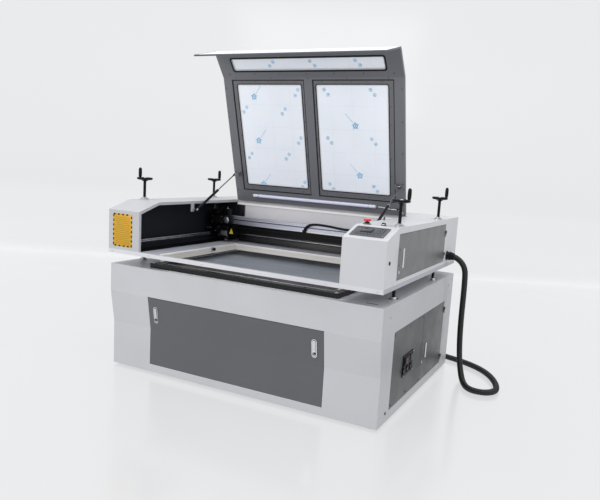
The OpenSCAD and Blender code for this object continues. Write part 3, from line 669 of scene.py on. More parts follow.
for y, z in ((-308, 205), (-143, 205), (-143, 318)):
    b.screw(mm(932.2, y, z), (1, 0, 0), 0.0035, "zinc", 0.0018)
b.box(mm(932.1, -200, 268), mm(934.2, -150, 306), "frame", 0.0014)
b.done("base", "electrics")

b = Build("plugs_and_screws_base")
b.lathe(mm(925.2, -555, 66), (1, 0, 0), [(0.0085, 0), (0.0085, 0.0012), (0.007, 0.0028), (0, 0.0032)], "blackp", 24)
b.screw(mm(925.2, -590, 606), (1, 0, 0), 0.0075, "zinc", 0.0032)
for y in (-590, 590):
    b.screw(mm(-925.2, y, 606), (-1, 0, 0), 0.0075, "zinc", 0.0032)
b.screw(mm(925.2, 590, 606), (1, 0, 0), 0.0075, "zinc", 0.0032)
b.lathe(mm(-925.2, -555, 66), (-1, 0, 0), [(0.0085, 0), (0.0085, 0.0012), (0.007, 0.0028), (0, 0.0032)], "blackp", 24)
for x in (-880, -440, 0, 440, 880):
    for z in (40, 340, 640):
        if not (x == 640 and z == 120):
            b.screw(mm(x, 700.2, z), (0, 1, 0), 0.006, "zinc", 0.0028)
b.done("base", "chrome")

# fixed service panel: fastening screws
b = Build("service_panel_screws")
for y, z in ((-480, 86), (-480, 485), (30, 86), (30, 485), (-225, 86), (-225, 485)):
    b.screw(mm(925.2, y, z), (1, 0, 0), 0.005, "door_base", 0.0024)
b.done("base", "chrome")


# dark inserts in the deck slot and in the left housing's slot
b = Build("deck_slot_insert")
b.box(mm(795.4, -639.6, 671.6), mm(864.6, -622.4, 674.3), "blackp", 0.0006)
b.done("base", "black_plastic")
b = Build("housing_slot_insert")
b.box(mm(-857.6, -263.6, 1071.6), mm(-808.4, -256.4, 1074.2), "blackp", 0.0006)
b.done("head", "black_plastic")

# ---- table frame: screws near its corners and along its front and back, and a light inner edge
b = Build("table_trim")
for x in (-628, 628):
    for y in (-638, 368):
        b.lathe(mm(x, y, 703.1), (0, 0, 1), [(0.011, 0), (0.011, 0.0012), (0.009, 0.002), (0, 0.002)], "zinc", 26)
        b.screw(mm(x, y, 705), (0, 0, 1), 0.0065, "chrome", 0.0045)
for x in (-430, -215, 0, 215, 430):
    b.screw(mm(x, -630, 703.1), (0, 0, 1), 0.0045, "frame", 0.0025)
    b.screw(mm(x, 360, 703.1), (0, 0, 1), 0.0045, "frame", 0.0025)
b.box(mm(-596, -606.6, 699), mm(596, -604.6, 704.4), "zinc", 0.0004)
b.box(mm(-596, 334.6, 699), mm(596, 336.6, 704.4), "zinc", 0.0004)
b.box(mm(-596.6, -606, 699), mm(-594.6, 336, 704.4), "zinc", 0.0004)
b.box(mm(594.6, -606, 699), mm(596.6, 336, 704.4), "zinc", 0.0004)
b.done("base", "black_metal")

# ---- head: dark linings inside both housings
for side, s in (("left", -1), ("right", 1)):
    b = Build("housing_lining_" + side)
    prof = [(-718, 775.2), (-718, 1010), (-549, 1069), (322, 1069), (322, 775.2)]
    x0, x1 = s * 843.2, s * 844.6
    vs = [mm(x0, y, z) for y, z in prof] + [mm(x1, y, z) for y, z in prof]
    n = len(prof)
    fs = [list(range(n)), list(range(2 * n - 1, n - 1, -1))] + [[i, (i + 1) % n, n + (i + 1) % n, n + i] for i in range(n)]
    b._add(vs, fs, "dark")
    xa, xb = sorted((s * 678.6, s * 843.2))
    b.box(mm(xa, -722, 774.1), mm(xb, 322, 775.3), "black", 0.0003)
    # inner face of the front and the top, seen from below
    b.box(mm(xa, -722.4, 776), mm(xb, -721.2, 1012), "dark", 0.0003)
    b.box(mm(xa, -548, 1071.2), mm(xb, 322, 1072.6), "dark", 0.0003)
    b.done("head", "black_metal")
b = Build("inner_service_strip")
b.box(mm(-843.0, 258, 872), mm(-841.2, 321, 1046), "zinc", 0.0006)
for z in (890, 1028):
    b.screw(mm(-841.1, 290, z), (1, 0, 0), 0.005, "zinc", 0.002)
b.done("head", "aluminium")

b = Build("rear_lining")
b.box(mm(-677, 323.6, 775), mm(-607, 325.4, 1052), "dark", 0.0003)
b.box(mm(-843, 323.6, 775), mm(-677, 325.4, 1068), "dark", 0.0003)
b.box(mm(677, 323.6, 775), mm(843, 325.4, 1068), "dark", 0.0003)
b.box(mm(-608.5, 320, 775), mm(-605.5, 326, 1052), "tray", 0.0005)
b.done("head", "black_metal")

# dark sheet below the beam: painted shade standing for the shadow under the beam, with a light edge rod
b = Build("trough_cover")
b.box(mm(-604, 243.2, 775), mm(676, 244.8, 898), "trough", 0.0004)
b.box(mm(-604, 243.2, 896.5), mm(676, 322, 898), "trough", 0.0004)
b.tube([mm(-604, 238, 829), mm(676, 238, 829)], 0.0036, "rail", 10)
b.box(mm(-604, 238.5, 820), mm(676, 243.0, 823.5), "black", 0.0005)
b.done("head", "black_metal")

# cream lip along the top of the inner cover; its glow is painted light brightening the strip that the open lid shades
b = Build("inner_cover_lip")
b.box(mm(-676, 317.5, 1039), mm(676, 325.8, 1053.5), "hemlip", 0.0018)
b.done("head", "flange_cream")

# amber notice plate: plain face, hazard dashes round it, plain rules across
b = Build("notice_plate")
b.box(mm(-886, -726.1, 794), mm(-732, -725.05, 998), "amber", 0.0004)
k = 0
def dash(x0, x1, z0, z1):
    b.box(mm(x0, -726.7, z0), mm(x1, -725.9, z1), "blackp", 0.0001)
for i in range(9):
    u0 = -886 + 17.1 * i
    if i % 2 == 0 and i < 8:
        dash(u0 + 12, u0 + 27, 794.0, 803.0)
        dash(u0 + 4, u0 + 19, 989.0, 998.0)
for i in range(7):
    w0 = 794 + 29.1 * i
    dash(-886.0, -877.5, w0 + 8, w0 + 22)
    dash(-740.5, -732.0, w0 + 4, w0 + 18)
for i in range(15):
    z = 812 + 11.6 * i
    b.box(mm(-870 + 3 * (i % 3), -726.3, z), mm(-748 - 7 * (i % 2), -725.9, z + 2.4), "print", 0.0001)
b.done("head")

# plugs and screws on the head's outer faces
b = Build("plugs_head")
b.lathe(mm(922.2, -669, 903), (1, 0, 0), [(0.0105, 0), (0.0105, 0.0014), (0.008, 0.0034), (0, 0.004)], "blackp", 26)
b.lathe(mm(-922.2, -669, 903), (-1, 0, 0), [(0.0105, 0), (0.0105, 0.0014), (0.008, 0.0034), (0, 0.004)], "blackp", 26)
for x in (-860, -430, 0, 430, 860):
    b.screw(mm(x, 690.2, 1040), (0, 1, 0), 0.0055, "zinc", 0.0026)
    if x:
        b.screw(mm(x, 690.2, 800), (0, 1, 0), 0.0055, "zinc", 0.0026)
for x in (-890, -600, -200, 200, 600, 890):
    b.screw(mm(x, -725.1, 761), (0, -1, 0), 0.0045, "zinc", 0.002)
b.done("head", "black_plastic")

# post flange screws
for name, x, y in (("front_left", -885, -455), ("front_right", 885, -455), ("rear_left", -885, 300), ("rear_right", 885, 300)):
    b = Build("post_collar_" + name)
    for a in (45, 135, 225, 315):
        t = math.radians(a)
        b.lathe((x / 1000 + 0.0205 * math.cos(t), y / 1000 + 0.0205 * math.sin(t), 1.0832), (0, 0, 1),
                [(0.0036, 0), (0.0036, 0.0012), (0.0022, 0.0014), (0.0022, 0.0003), (0, 0.0003)], "blackp", 14)
    b.ring((x / 1000, y / 1000, 1.0892), (0, 0, 1), [(0.0098, 0), (0.0158, 0), (0.0158, 0.0018), (0.0138, 0.0034), (0.0098, 0.0034)], "chrome", 32)
    b.done("head", "chrome")
    b = Build("cup_screws_" + name)
    for a in (0, 120, 240):
        t = math.radians(a + 20)
        b.screw((x / 1000 + 0.0225 * math.cos(t), y / 1000 + 0.0225 * math.sin(t), 0.6812), (0, 0, 1), 0.0036, "blackp", 0.003)
    b.done("base", "chrome")
    b = Build("hub_cap_" + name)
    b.lathe((x / 1000, y / 1000, 1.2142), (0, 0, 1), [(0.0115, 0), (0.0115, 0.003), (0.0095, 0.0052), (0.004, 0.0062), (0, 0.0062)], "chrome", 28)
    b.done("jack_" + name, "chrome")

# folded bright lip round the work opening
b = Build("opening_lip")
L_, R_, F_, B_ = -515, 670, -711, 75
for lo, hi in (((L_ - 1, B_ - 1, 774), (R_ + 1, B_ + 11, 777.5)), ((L_ - 12, F_ + 2, 774), (L_ + 1, B_ + 11, 777.5)), ((L_ - 0.4, B_ - 2.6, 766), (R_ - 2, B_ - 2.0, 777.2)), ((L_ + 2.0, F_ + 4, 768), (L_ + 2.6, B_ - 3, 777.2))):
    b.box(mm(*lo), mm(*hi), "brightlip", 0.0012)
b.done("head", "flange_cream")

# clamp knob on the flange
b = Build("flange_clamp")
b.box(mm(-517, -212, 774.2), mm(-500, -190, 777.2), "zinc", 0.001)
b.box(mm(-512.9, -208, 748), mm(-508.5, -194, 777.2), "zinc", 0.0008)
b.lathe(mm(-508.4, -201, 764), (1, 0, 0), [(0.004, 0), (0.004, 0.006), (0.0095, 0.007), (0.0105, 0.012), (0.0095, 0.018), (0, 0.0195)], "blackp", 22)
b.box(mm(-502, -215, 762), mm(-497, -187, 767), "blackp", 0.002)
b.done("head", "black_plastic")

# Y drive belts beside the rails and their end pulleys
for side, s in (("left", -1), ("right", 1)):
    b = Build("y_belt_" + side)
    xa, xb = sorted((s * 762, s * 770))
    b.box(mm(xa, -690, 826.0), mm(xb, 318, 827.6), "blackp", 0.0003)
    b.box(mm(xa, -690, 806.0), mm(xb, 318, 807.6), "blackp", 0.0003)
    for y in (-692, 312):
        b.lathe(mm(s * 758, y, 816.8), (s, 0, 0), [(0.012, 0), (0.012, 0.0015), (0.0096, 0.002), (0.0096, 0.014), (0.012, 0.0145), (0.012, 0.016), (0, 0.016)], "alu", 26)
        b.box(mm(min(s * 774.5, s * 779.5), y - 14, 776), mm(max(s * 774.5, s * 779.5), y + 14, 836), "black", 0.001)
    b.done("head", "black_plastic")

# ---- gantry: drive box at the left end, motor, belt and fasteners
b = Build("x_drive_box")
b.box(mm(-776, 126, 899), mm(-604, 163.5, 966), "black", 0.003)
b.box(mm(-764, 122.5, 907), mm(-672, 126.5, 958), "frame", 0.0015)
for x in (-760, -676):
    for z in (911, 954):
        b.screw(mm(x, 122.4, z), (0, -1, 0), 0.003, "chrome", 0.002)
b.lathe(mm(-638, 126, 932), (0, -1, 0), [(0.024, 0), (0.024, 0.003), (0.021, 0.005), (0.010, 0.006), (0.010, 0.010), (0.004, 0.011), (0, 0.011)], "zinc", 32)
b.box(mm(-776, 130, 966), mm(-716, 222, 1001), "blackp", 0.004)
b.box(mm(-700, 168, 962.3), mm(-650, 218, 1010), "black", 0.004)
b.lathe(mm(-675, 193, 1010), (0, 0, 1), [(0.011, 0), (0.011, 0.003), (0.0025, 0.0035), (0.0025, 0.012), (0, 0.012)], "chrome", 24)
b.done("gantry", "black_metal")
b = Build("beam_lip")
b.box(mm(-40, 162.4, 905.4), mm(776, 164.8, 914), "brightlip", 0.0006)
b.box(mm(-600, 163.4, 905.4), mm(-42, 164.8, 909), "alu", 0.0004)
b.done("gantry", "aluminium")
b = Build("x_belt")
b.box(mm(-600, 160.6, 936.6), mm(770, 163.0, 941.4), "blackp", 0.0004)
for x in range(-540, 760, 130):
    b.screw(mm(x, 164.8, 957.5), (0, -1, 0), 0.0032, "zinc", 0.0018)
b.done("gantry", "black_plastic")
for side, s in (("left", -1), ("right", 1)):
    b = Build("carriage_screws_" + side)
    for y in (160, 190, 220):
        for x in (797, 827):
            b.screw(mm(s * x, y, 858.1), (0, 0, 1), 0.004, "chrome", 0.0035)
    b.done("gantry", "chrome")

# ---- laser head: mirror mount, knurled screws, lens tube ring, warning triangle without any sign
b = Build("laser_head_fittings")
b.lathe(mm(-630, 121, 793.5), (0, 0, 1), [(0.0165, 0), (0.0165, 0.005), (0.0155, 0.006), (0.0155, 0.012), (0.0165, 0.013), (0.0165, 0.018), (0.0152, 0.019), (0, 0.019)], "frame", 32)
b.lathe(mm(-630, 121, 782.4), (0, 0, 1), [(0.0038, 0), (0.0048, 0), (0.0122, 0.0095), (0.0122, 0.0115), (0.0038, 0.0115)], "brass", 28)
b.box(mm(-700, 108, 834), mm(-693, 160, 893), "black", 0.002)
b.box(mm(-716, 110, 840), mm(-709, 158, 888), "black", 0.002)
for y, z in ((117, 848), (151, 848), (151, 881)):
    b.lathe(mm(-716, y, z), (-1, 0, 0), [(0.0022, 0), (0.0022, 0.008), (0.005, 0.0085), (0.005, 0.015), (0.0044, 0.0158), (0, 0.0158)], "chrome", 20)
    b.tube([mm(-709, y, z), mm(-700, y, z)], 0.0012, "zinc", 8)
b.lathe(mm(-709.2, 128, 866), (1, 0, 0), [(0.0125, 0), (0.0125, 0.0012), (0, 0.0012)], "brass", 24)
b.box(mm(-664, 101.6, 822), mm(-612, 104.4, 858), "zinc", 0.001)
for x in (-682, -608):
    for z in (820, 882):
        b.screw(mm(x, 103.9, z), (0, -1, 0), 0.0032, "chrome", 0.002)
b.tube([mm(-640, 118, 890), mm(-641, 117, 893.6), mm(-655, 117, 894.5), mm(-676, 122, 892)], 0.002, "blackp", 10)
b.done("laser_head", "black_metal")
b = Build("laser_head_triangle")
tri = [(-0.598, 0.838), (-0.562, 0.838), (-0.580, 0.877)]
vs = [(x, 0.1104, z) for x, z in tri] + [(x, 0.1118, z) for x, z in tri]
b._add(vs, [[0, 1, 2], [3, 5, 4], [0, 3, 4, 1], [1, 4, 5, 2], [2, 5, 3, 0]], "yellow")
b.done("laser_head")

# ---- control panel: screen, keys and rim; no markings
CP = frame_at(0, -725, 1019, 17.94)
b = Build("panel_keys")
b.box(mm(716, 47, 4.1), mm(870, 137, 4.6), "panel_dark", 0.0002, CP)
b.box(mm(741, 74, 4.5), mm(806, 124, 6.0), "blackp", 0.0008, CP)
b.box(mm(745, 79, 5.9), mm(802, 119, 6.4), "lcd", 0.0002, CP)
for i in range(3):
    for j in range(3):
        if i == 1 and j == 1:
            b.box(mm(819 + 16 * i, 80 + 15 * j, 4.5), mm(831 + 16 * i, 91 + 15 * j, 5.9), "key_blue", 0.0006, CP)
        else:
            b.box(mm(819 + 16 * i, 80 + 15 * j, 4.5), mm(831 + 16 * i, 91 + 15 * j, 5.9), "key_grey", 0.0006, CP)
for i in range(8):
    b.box(mm(722 + 18.2 * i, 54, 4.5), mm(735 + 18.2 * i, 64, 5.9), "key_grey", 0.0006, CP)
for i in range(3):
    b.lathe(mm(728, 84 + 16 * i, 4.5), (0, 0, 1), [(0.0026, 0), (0.0026, 0.0008), (0.0018, 0.0014), (0, 0.0016)], ("green", "red", "amber")[i], 14, CP)
for x in (704, 882):
    for y in (37, 146):
        b.lathe(mm(x, y, 5.0), (0, 0, 1), [(0.0028, 0), (0.0028, 0.0008), (0.002, 0.0016), (0, 0.0017)], "zinc", 14, CP)
b.done("head", "electrics")

# emergency stop and key switch plates on the housing top
b = Build("switch_plates")
b.ring(mm(723, -514, 1078.1), (0, 0, 1), [(0.0142, 0), (0.0205, 0), (0.0205, 0.0012), (0.0195, 0.0018), (0.0142, 0.0018)], "zinc", 40)
b.ring(mm(815, -505, 1079.1), (0, 0, 1), [(0.0112, 0), (0.0142, 0), (0.0142, 0.002), (0.0125, 0.0036), (0.0112, 0.0036)], "chrome", 36)
b.done("head", "chrome")
b = Build("stop_button_arrow_ring")
b.ring(mm(723, -514, 1105.2), (0, 0, 1), [(0.0105, 0), (0.0125, 0), (0.0125, 0.0006), (0.0105, 0.0011)], "whitep", 40)
b.done("stop_button", "red_plastic")
b = Build("key_bow")
b.ring(mm(815, -514 + 9, 1113), (1, 0, 0), [(0.003, -0.0016), (0.0098, -0.0016), (0.0104, -0.0008), (0.0104, 0.0008), (0.0098, 0.0016), (0.003, 0.0016)], "blackp", 30)
b.done("key", "black_plastic")

# ---- head side door and base doors: small quarter-turn lock under the handle
b = Build("head_door_lock")
b.lathe(mm(922.1, -516, 838), (1, 0, 0), [(0.009, 0), (0.009, 0.0018), (0.0075, 0.003), (0.0045, 0.003), (0.0045, 0.0016), (0, 0.0016)], "chrome", 26)
b.done("head_right_door", "chrome")
for name, s in (("base_right_door", 1), ("base_left_door", -1)):
    b = Build(name + "_lock")
    b.lathe(mm(s * 925.1, 70, 190), (s, 0, 0), [(0.009, 0), (0.009, 0.0018), (0.0075, 0.003), (0.0045, 0.003), (0.0045, 0.0016), (0, 0.0016)], "chrome", 26)
    b.done(name, "chrome")

# ---- lid: window retainers, gaskets, screws, film marks, lamp fittings
def closed(x, s, d):
    """Point in the closed lid: across, back from the hinge, depth below the top sheet (mm)."""
    return (x / 1000, (326 - s) / 1000, (1075 - d) / 1000)


for side, s in (("left", -1), ("right", 1)):
    xo, xi = sorted((s * 54, s * 558))
    ro, ri = sorted((s * 31.5, s * 595.5))
    b = Build("window_retainer_" + side)
    mw = LIDM
    outer = [(x / 1000, (326 - q) / 1000) for x, q in round_rect(ro, ri, 86.5, 873.5, 3)]
    inner = [(x / 1000, (326 - q) / 1000) for x, q in round_rect(xo - 2, xi + 2, 128, 846, 16)]
    loop_strip(b, outer, inner, 1.0612, 1.0629, "retainer", mw)
    g_o = [(x / 1000, (326 - q) / 1000) for x, q in round_rect(xo - 3.5, xi + 3.5, 126.5, 847.5, 17)]
    g_i = [(x / 1000, (326 - q) / 1000) for x, q in round_rect(xo + 2.5, xi - 2.5, 132.5, 841.5, 12)]
    loop_strip(b, g_o, g_i, 1.0598, 1.0629, "gasket", mw)
    e_o = [(x / 1000, (326 - q) / 1000) for x, q in round_rect(ro, ri, 86.5, 873.5, 3)]
    e_i = [(x / 1000, (326 - q) / 1000) for x, q in round_rect(ro + 6, ri - 6, 92.5, 867.5, 3)]
    loop_strip(b, e_o, e_i, 1.0603, 1.0613, "gasket", mw)
    # bright rim of bare sheet just inside the gasket
    w_i = [(x / 1000, (326 - q) / 1000) for x, q in round_rect(xo + 9.5, xi - 9.5, 139.5, 834.5, 8)]
    loop_strip(b, g_i, w_i, 1.0621, 1.0629, "whitep", mw)
    for q in range(150, 840, 112):
        for x in (xo - 11, xi + 11):
            b.screw(LIDM @ Vector(closed(x, q, 13.8)), LIDM.to_3x3() @ Vector((0, 0, -1)), 0.0036, "lidscrew", 0.002)
    for x in range(int(xo) + 40, int(xi), 106):
        for q in (108, 861):
            b.screw(LIDM @ Vector(closed(x, q, 13.8)), LIDM.to_3x3() @ Vector((0, 0, -1)), 0.0036, "lidscrew", 0.002)
    b.done("lid", "lid_grey")

# narrow window: gasket round it, in the frame of the lid's sloping part
BEND = Matrix.Translation((0, (326 - 892) / 1000, 1.075)) @ Matrix.Rotation(math.radians(21.7), 4, "X")
L2 = LIDM @ BEND
b = Build("window_retainer_top")
o = [(x / 1000, -q / 1000) for x, q in round_rect(-562, 562, 45, 150, 18)]
i_ = [(x / 1000, -q / 1000) for x, q in round_rect(-551, 551, 56, 139, 12)]
loop_strip(b, o, i_, -0.0216, -0.0202, "gasket", L2)
w_i = [(x / 1000, -q / 1000) for x, q in round_rect(-544, 544, 63, 132, 9)]
loop_strip(b, i_, w_i, -0.0132, -0.0122, "whitep", L2)
for x in range(-600, 601, 200):
    b.screw(L2 @ Vector((x / 1000, -0.030, -0.0201)), L2.to_3x3() @ Vector((0, 0, -1)), 0.0042, "lidscrew", 0.002)
b.done("lid", "lid_grey")

# dark channel along the lip's free edge and its two ends
b = Build("lip_edge_trim")
b.box(mm(-663.8, -742.9, 759.4), mm(663.8, -732.3, 767.4), "trim", 0.001, LIDM)
for s in (-1, 1):
    xa, xb = sorted((s * 660.5, s * 664.2))
    b.box(mm(xa, -742.9, 762), mm(xb, -732.3, 1001), "trim", 0.001, LIDM)
b.done("lid", "lid_grey")

# frame screws
b = Build("lid_frame_screws")
n_in = LIDM.to_3x3() @ Vector((0, 0, -1))
for q in (60, 200, 400, 600, 800):
    for x in (-648, 648):
        b.screw(LIDM @ Vector(closed(x, q + 18, 20.1)), n_in, 0.0042, "lidscrew", 0.0022)
for x in range(-560, 561, 280):
    b.screw(LIDM @ Vector(closed(x, 884, 20.1)), n_in, 0.0042, "lidscrew", 0.0022)
b.done("lid", "chrome")

# film marks: plain beads on a slant with a small ring at the end
b = Build("film_marks")
R3 = LIDM.to_3x3()
def mark(x, q, ang, kind, M4, flat):
    c, s_ = math.cos(math.radians(ang)), math.sin(math.radians(ang))
    def at(u, v):
        return M4 @ Vector(flat(x + u * c - v * s_, q + u * s_ + v * c))
    nrm = M4.to_3x3() @ Vector((0, 0, -1))
    def bead(u, v, r):
        b.lathe(at(u, v), nrm, [(r, 0), (r, 0.0003), (0, 0.0004)], "mark", 10)
    if kind == 0:
        for k in range(9):
            bead(-50 + 9 * k, 2 * (k % 2), 0.0028)
        b.ring(at(50, 0), nrm, [(0.010, 0), (0.018, 0), (0.018, 0.0004), (0.010, 0.0004)], "mark", 18)
        bead(50, 0, 0.0058)
        for k in range(5):
            t = math.radians(72 * k)
            bead(50 + 23 * math.cos(t), 23 * math.sin(t), 0.0034)
    else:
        for k in (-1, 1):
            for j in range(6):
                t = math.radians(60 * j)
                bead(21 * k + 10 * math.cos(t), 10 * math.sin(t), 0.0034)
            bead(21 * k, 0, 0.0048)
f1 = lambda x, q: closed(x, q, 12.5)
f2 = lambda x, q: (x / 1000, -q / 1000, -0.0125)
for x, q, k, a in ((-400, 800, 0, -52), (-95, 790, 1, -60), (-515, 672, 1, -50), (-205, 665, 1, -52), (-395, 495, 0, -50), (-96, 470, 1, -60),
                   (-510, 345, 1, -52), (-202, 352, 1, -52), (-390, 178, 0, -50), (-90, 158, 1, -60)):
    mark(x, q, 180 - a, k, LIDM, f1)
for x, q, k, a in ((125, 795, 1, 50), (450, 795, 1, 50), (290, 620, 0, 48), (133, 480, 1, 50), (450, 485, 1, 50), (310, 290, 0, 48), (130, 162, 1, 50), (455, 168, 1, 50)):
    mark(x, q, -a, k, LIDM, f1)
for x, q, a in ((-250, 98, 40), (55, 98, -48), (370, 98, -48)):
    mark(x, q, a, 1, L2, f2)
b.done("lid", "window_film")

# lamp end caps, clips and its lead along the frame
b = Build("lamp_fittings")
for x, d in ((-503, -1), (456, 1)):
    b.lathe(LIDM @ Vector(closed(x - d * 14, 52, 34)), (d, 0, 0), [(0.0118, 0), (0.0118, 0.0145), (0.0102, 0.0165), (0.0045, 0.0165), (0.0045, 0.022), (0, 0.022)], "whitep", 26)
for x in (-470, 400):
    b.ring(LIDM @ Vector(closed(x + 4, 52, 34)), (1, 0, 0), [(0.0112, 0), (0.0128, 0), (0.0128, 0.012), (0.0112, 0.012)], "zinc", 28)
pts = [closed(478, 52, 34), closed(500, 52, 34), closed(530, 46, 28), closed(565, 40, 24), closed(600, 40, 23.5), closed(628, 34, 23.5), closed(643, 24, 23.5), closed(650, 15, 22)]
b.tube([LIDM @ Vector(p) for p in smooth_path(pts, 8)], 0.0030, "whitep", 10)
pts = [closed(598, 47, 23.8), closed(622, 42, 23.8), closed(638, 28, 23.8), closed(643, 17, 22.5)]
b.tube([LIDM @ Vector(p) for p in smooth_path(pts, 8)], 0.0026, "blackp", 10)
for x, q in ((560, 40), (612, 41)):
    p = LIDM @ Vector(closed(x, q, 20.2))
    b.box((p.x - 0.006, p.y - 0.006, p.z - 0.006), (p.x + 0.006, p.y + 0.004, p.z + 0.006), "blackp", 0.0015)
b.done("lid", "lamp")

# ---- gas springs: end sockets, seal ferrule and clips
A0 = math.radians(29.57356)
ax = Vector((0, math.cos(A0), math.sin(A0)))
for side, s in (("left", -1), ("right", 1)):
    p0 = Vector((s * 0.642, -0.215, 1.020))
    b = Build("spring_ferrule_" + side)
    b.ring(p0 + ax * 0.262, ax, [(0.0044, 0), (0.0096, 0), (0.0096, 0.004), (0.0084, 0.0068), (0.0044, 0.0068)], "chrome", 28)
    b.ring(p0 + ax * 0.030, ax, [(0.0088, 0), (0.0098, 0.0012), (0.0098, 0.006), (0.0088, 0.0072)], "blackp", 28)
    b.lathe(p0 - Vector((s * 0.0052, 0, 0)), (-s, 0, 0), [(0.0085, 0), (0.0075, 0.0030), (0.003, 0.0045), (0, 0.0048)], "chrome", 24)
    b.done("spring_tube_" + side, "chrome")
    e = p0 + ax * 0.49646
    b = Build("spring_end_" + side)
    b.lathe(e - Vector((s * 0.0052, 0, 0)), (-s, 0, 0), [(0.0082, 0), (0.0082, 0.002), (0.006, 0.0042), (0, 0.0048)], "chrome", 24)
    b.ring(e - ax * 0.020, ax, [(0.0041, 0), (0.0062, 0), (0.0066, 0.010), (0.0041, 0.012)], "blackp", 24)
    b.done("spring_rod_" + side, "chrome")

# ---- hose collars: ribbed tapered strain reliefs
b = Build("hose_collar_head")
d = Vector((1, 0.0, -0.055)).normalized()
b.ring(Vector(mm(939.4, 465, 826)), d, [(0.0208, 0.0), (0.0300, 0.0), (0.0300, 0.004), (0.0275, 0.006), (0.0282, 0.010), (0.0262, 0.012), (0.0268, 0.016), (0.0248, 0.018),
                                      (0.0254, 0.022), (0.0234, 0.024), (0.0238, 0.030), (0.0216, 0.034), (0.0208, 0.034)], "blackp", 40)
b.done("head", "black_plastic")
b = Build("hose_collar_base")
b.ring(Vector(mm(640, 731, 120)), Vector((0.02, 1, -0.02)).normalized(), [(0.0208, 0.0), (0.0262, 0.0), (0.0262, 0.004), (0.0242, 0.006), (0.0248, 0.010), (0.0230, 0.012), (0.0234, 0.017), (0.0214, 0.020), (0.0208, 0.020)], "blackp", 40)
b.done("base", "black_plastic")

# ---- laser tube electrodes, inside the rear compartment
b = Build("tube_fittings")
for x, d in ((-640, -1), (610, 1)):
    b.lathe(mm(x + d * 0.3, 520, 905), (d, 0, 0), [(0.030, 0), (0.030, 0.004), (0.016, 0.006), (0.016, 0.014), (0.006, 0.015), (0.006, 0.024), (0, 0.024)], "zinc", 30)
b.tube([mm(634, 520, 905), mm(655, 520, 912), mm(668, 530, 935), mm(672, 560, 960), mm(672, 600, 975)], 0.004, "red", 12)
for x in (-430, 380):
    b.ring(mm(x + 6, 520, 905), (1, 0, 0), [(0.0404, 0), (0.0424, 0), (0.0424, 0.028), (0.0404, 0.028)], "zinc", 40)
b.done("head", "electrics")

# ---- second materials on CAD parts
split_material("lid_front_plate", "lid", lambda c, n: (n.dot(LIDM.to_3x3() @ Vector((0, 0, -1))) > 0.9))
def near_lug(c, n):
    return abs(abs(c.x) - 0.642) < 0.03 and abs(c.y + 0.215) < 0.03 and 0.985 < c.z < 1.045
split_material("head_tray", "tray_front", lambda c, n: n.y < -0.9 and c.y < -0.72)
split_material("table_slats", "frame_brown", lambda c, n: c.y < -0.44)
# Y rails: the lower part darker in the lining paint, and the upward faces of the top in bright paint, a painted
# highlight
split_material("y_rails", "dark", lambda c, n: c.z < 0.8121)
split_material("y_rails", "rail_top", lambda c, n: n.z > 0.9 and c.z > 0.8262)
split_material("left_housing", "zinc", near_lug)
split_material("right_housing", "zinc", near_lug)

# ---- softened sheet-metal edges on the visible casings
for n in ("base_front_skin", "base_left_skin", "base_right_skin", "base_rear_skin", "base_deck", "left_housing", "right_housing", "rear_housing",
          "front_panel", "head_tray", "head_right_door", "base_right_door", "base_left_door", "lid_frame", "lid_front_plate", "control_panel"):
    o = nodes[n]
    md = o.modifiers.new("edge_radius", "BEVEL")
    md.width = 0.0009
    md.segments = 2
    md.limit_method = "ANGLE"
    md.angle_limit = math.radians(34)
    md.use_clamp_overlap = True
    md.harden_normals = False

# ---------------------------------------------------------------- floor and light
def floor_material():
    m, nt, b = _nt("studio_floor")
    v = _coord(nt)
    nt.links.new(_ramp(nt, _noise(nt, v, 0.5, 3), [(0.3, (0.078, 0.080, 0.081)), (0.7, (0.083, 0.085, 0.086))]), b.inputs["Base Color"])
    nt.links.new(_range(nt, _noise(nt, v, 3, 3), 0.16, 0.20), b.inputs["Roughness"])
    b.inputs["Specular IOR Level"].default_value = 0.5
    b.inputs["Emission Color"].default_value = (0.985, 0.99, 1.0, 1)
    # the sheet glows a little less where it shines most at a low angle, so it reads as one even tone
    dot = nt.nodes.new("ShaderNodeVectorMath")
    dot.operation = "DOT_PRODUCT"
    dot.inputs[1].default_value = (-math.sin(0.446), math.cos(0.446), 0)
    nt.links.new(v, dot.inputs[0])
    glow = ((-2, 0.69), (-0.9, 0.645), (0.1, 0.612), (1.3, 0.578), (2.2, 0.552), (2.9, 0.53), (3.9, 0.49),
            (4.37, 0.55), (4.74, 0.635), (4.93, 0.67), (5.12, 0.69), (5.6, 0.71), (7, 0.76))
    nt.links.new(_ramp(nt, _range(nt, dot.outputs["Value"], 0, 1, -2, 7), [((d + 2) / 9, (g, g, g)) for d, g in glow]),
                 b.inputs["Emission Strength"])
    return m


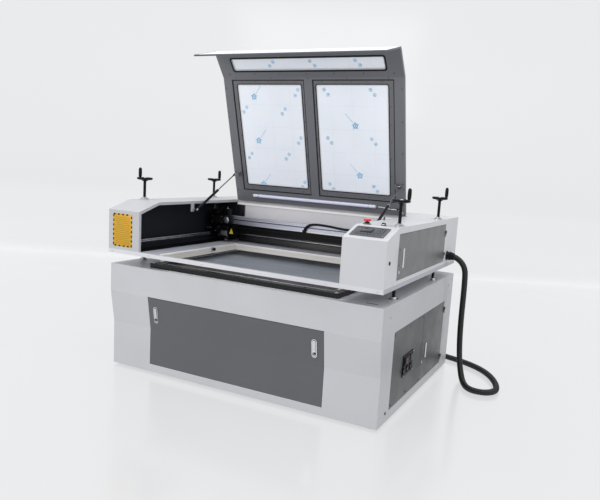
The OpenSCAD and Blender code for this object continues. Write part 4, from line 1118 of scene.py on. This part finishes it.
def make_floor():
    me = bpy.data.meshes.new("floor")
    bm = bmesh.new()
    # flat sheet that turns up far behind the machine, so no horizon shows
    prof = [(-9.0, 0.0), (4.0, 0.0)]
    for i in range(1, 13):
        t = math.radians(90 * i / 12)
        prof.append((4.0 + 3.0 * math.sin(t), 3.0 - 3.0 * math.cos(t)))
    prof.append((7.0, 14.0))
    ca, sa = math.cos(0.446), math.sin(0.446)
    rows = []
    for s, z in prof:
        row = []
        for x in (-14.0, 14.0):
            row.append(bm.verts.new((x * ca - s * sa, x * sa + s * ca, z)))
        rows.append(row)
    for a, b in zip(rows, rows[1:]):
        f = bm.faces.new([a[0], a[1], b[1], b[0]])
        f.smooth = True
    bm.to_mesh(me)
    bm.free()
    ob = bpy.data.objects.new("floor", me)
    bpy.context.scene.collection.objects.link(ob)
    me.materials.append(floor_material())
    return ob


make_floor()


def area(name, loc, target, size, energy, col=(1, 1, 1)):
    l = bpy.data.lights.new(name, "AREA")
    l.shape = "RECTANGLE"
    l.size, l.size_y = size
    l.energy = energy
    l.color = col
    o = bpy.data.objects.new(name, l)
    bpy.context.scene.collection.objects.link(o)
    o.location = loc
    o.rotation_euler = (Vector(target) - Vector(loc)).to_track_quat("-Z", "Y").to_euler()
    return o


area("top", (0.3, -0.6, 5.2), (0, 0, 0.6), (5.0, 5.0), 150)
area("front_left", (-2.4, -5.3, 3.0), (0.1, 0, 0.7), (3.0, 2.6), 94)
area("right", (5.0, -1.2, 3.6), (0, 0, 1.0), (2.6, 2.6), 42)

w = bpy.data.worlds.new("world")
bpy.context.scene.world = w
w.use_nodes = True
w.node_tree.nodes["Background"].inputs["Color"].default_value = (0.93, 0.95, 1.0, 1)
w.node_tree.nodes["Background"].inputs["Strength"].default_value = 0.56
# rays straight from the camera see the same even grey as the floor, so turned views have no dark corner
_wt = w.node_tree
_bg2 = _wt.nodes.new("ShaderNodeBackground")
_bg2.inputs["Color"].default_value = (0.83, 0.835, 0.845, 1)
_bg2.inputs["Strength"].default_value = 1.0
_mix = _wt.nodes.new("ShaderNodeMixShader")
_lp = _wt.nodes.new("ShaderNodeLightPath")
_wt.links.new(_lp.outputs["Is Camera Ray"], _mix.inputs[0])
_wt.links.new(_wt.nodes["Background"].outputs["Background"], _mix.inputs[1])
_wt.links.new(_bg2.outputs["Background"], _mix.inputs[2])
_wt.links.new(_mix.outputs["Shader"], _wt.nodes["World Output"].inputs["Surface"])
bpy.context.scene.view_settings.view_transform = "Standard"
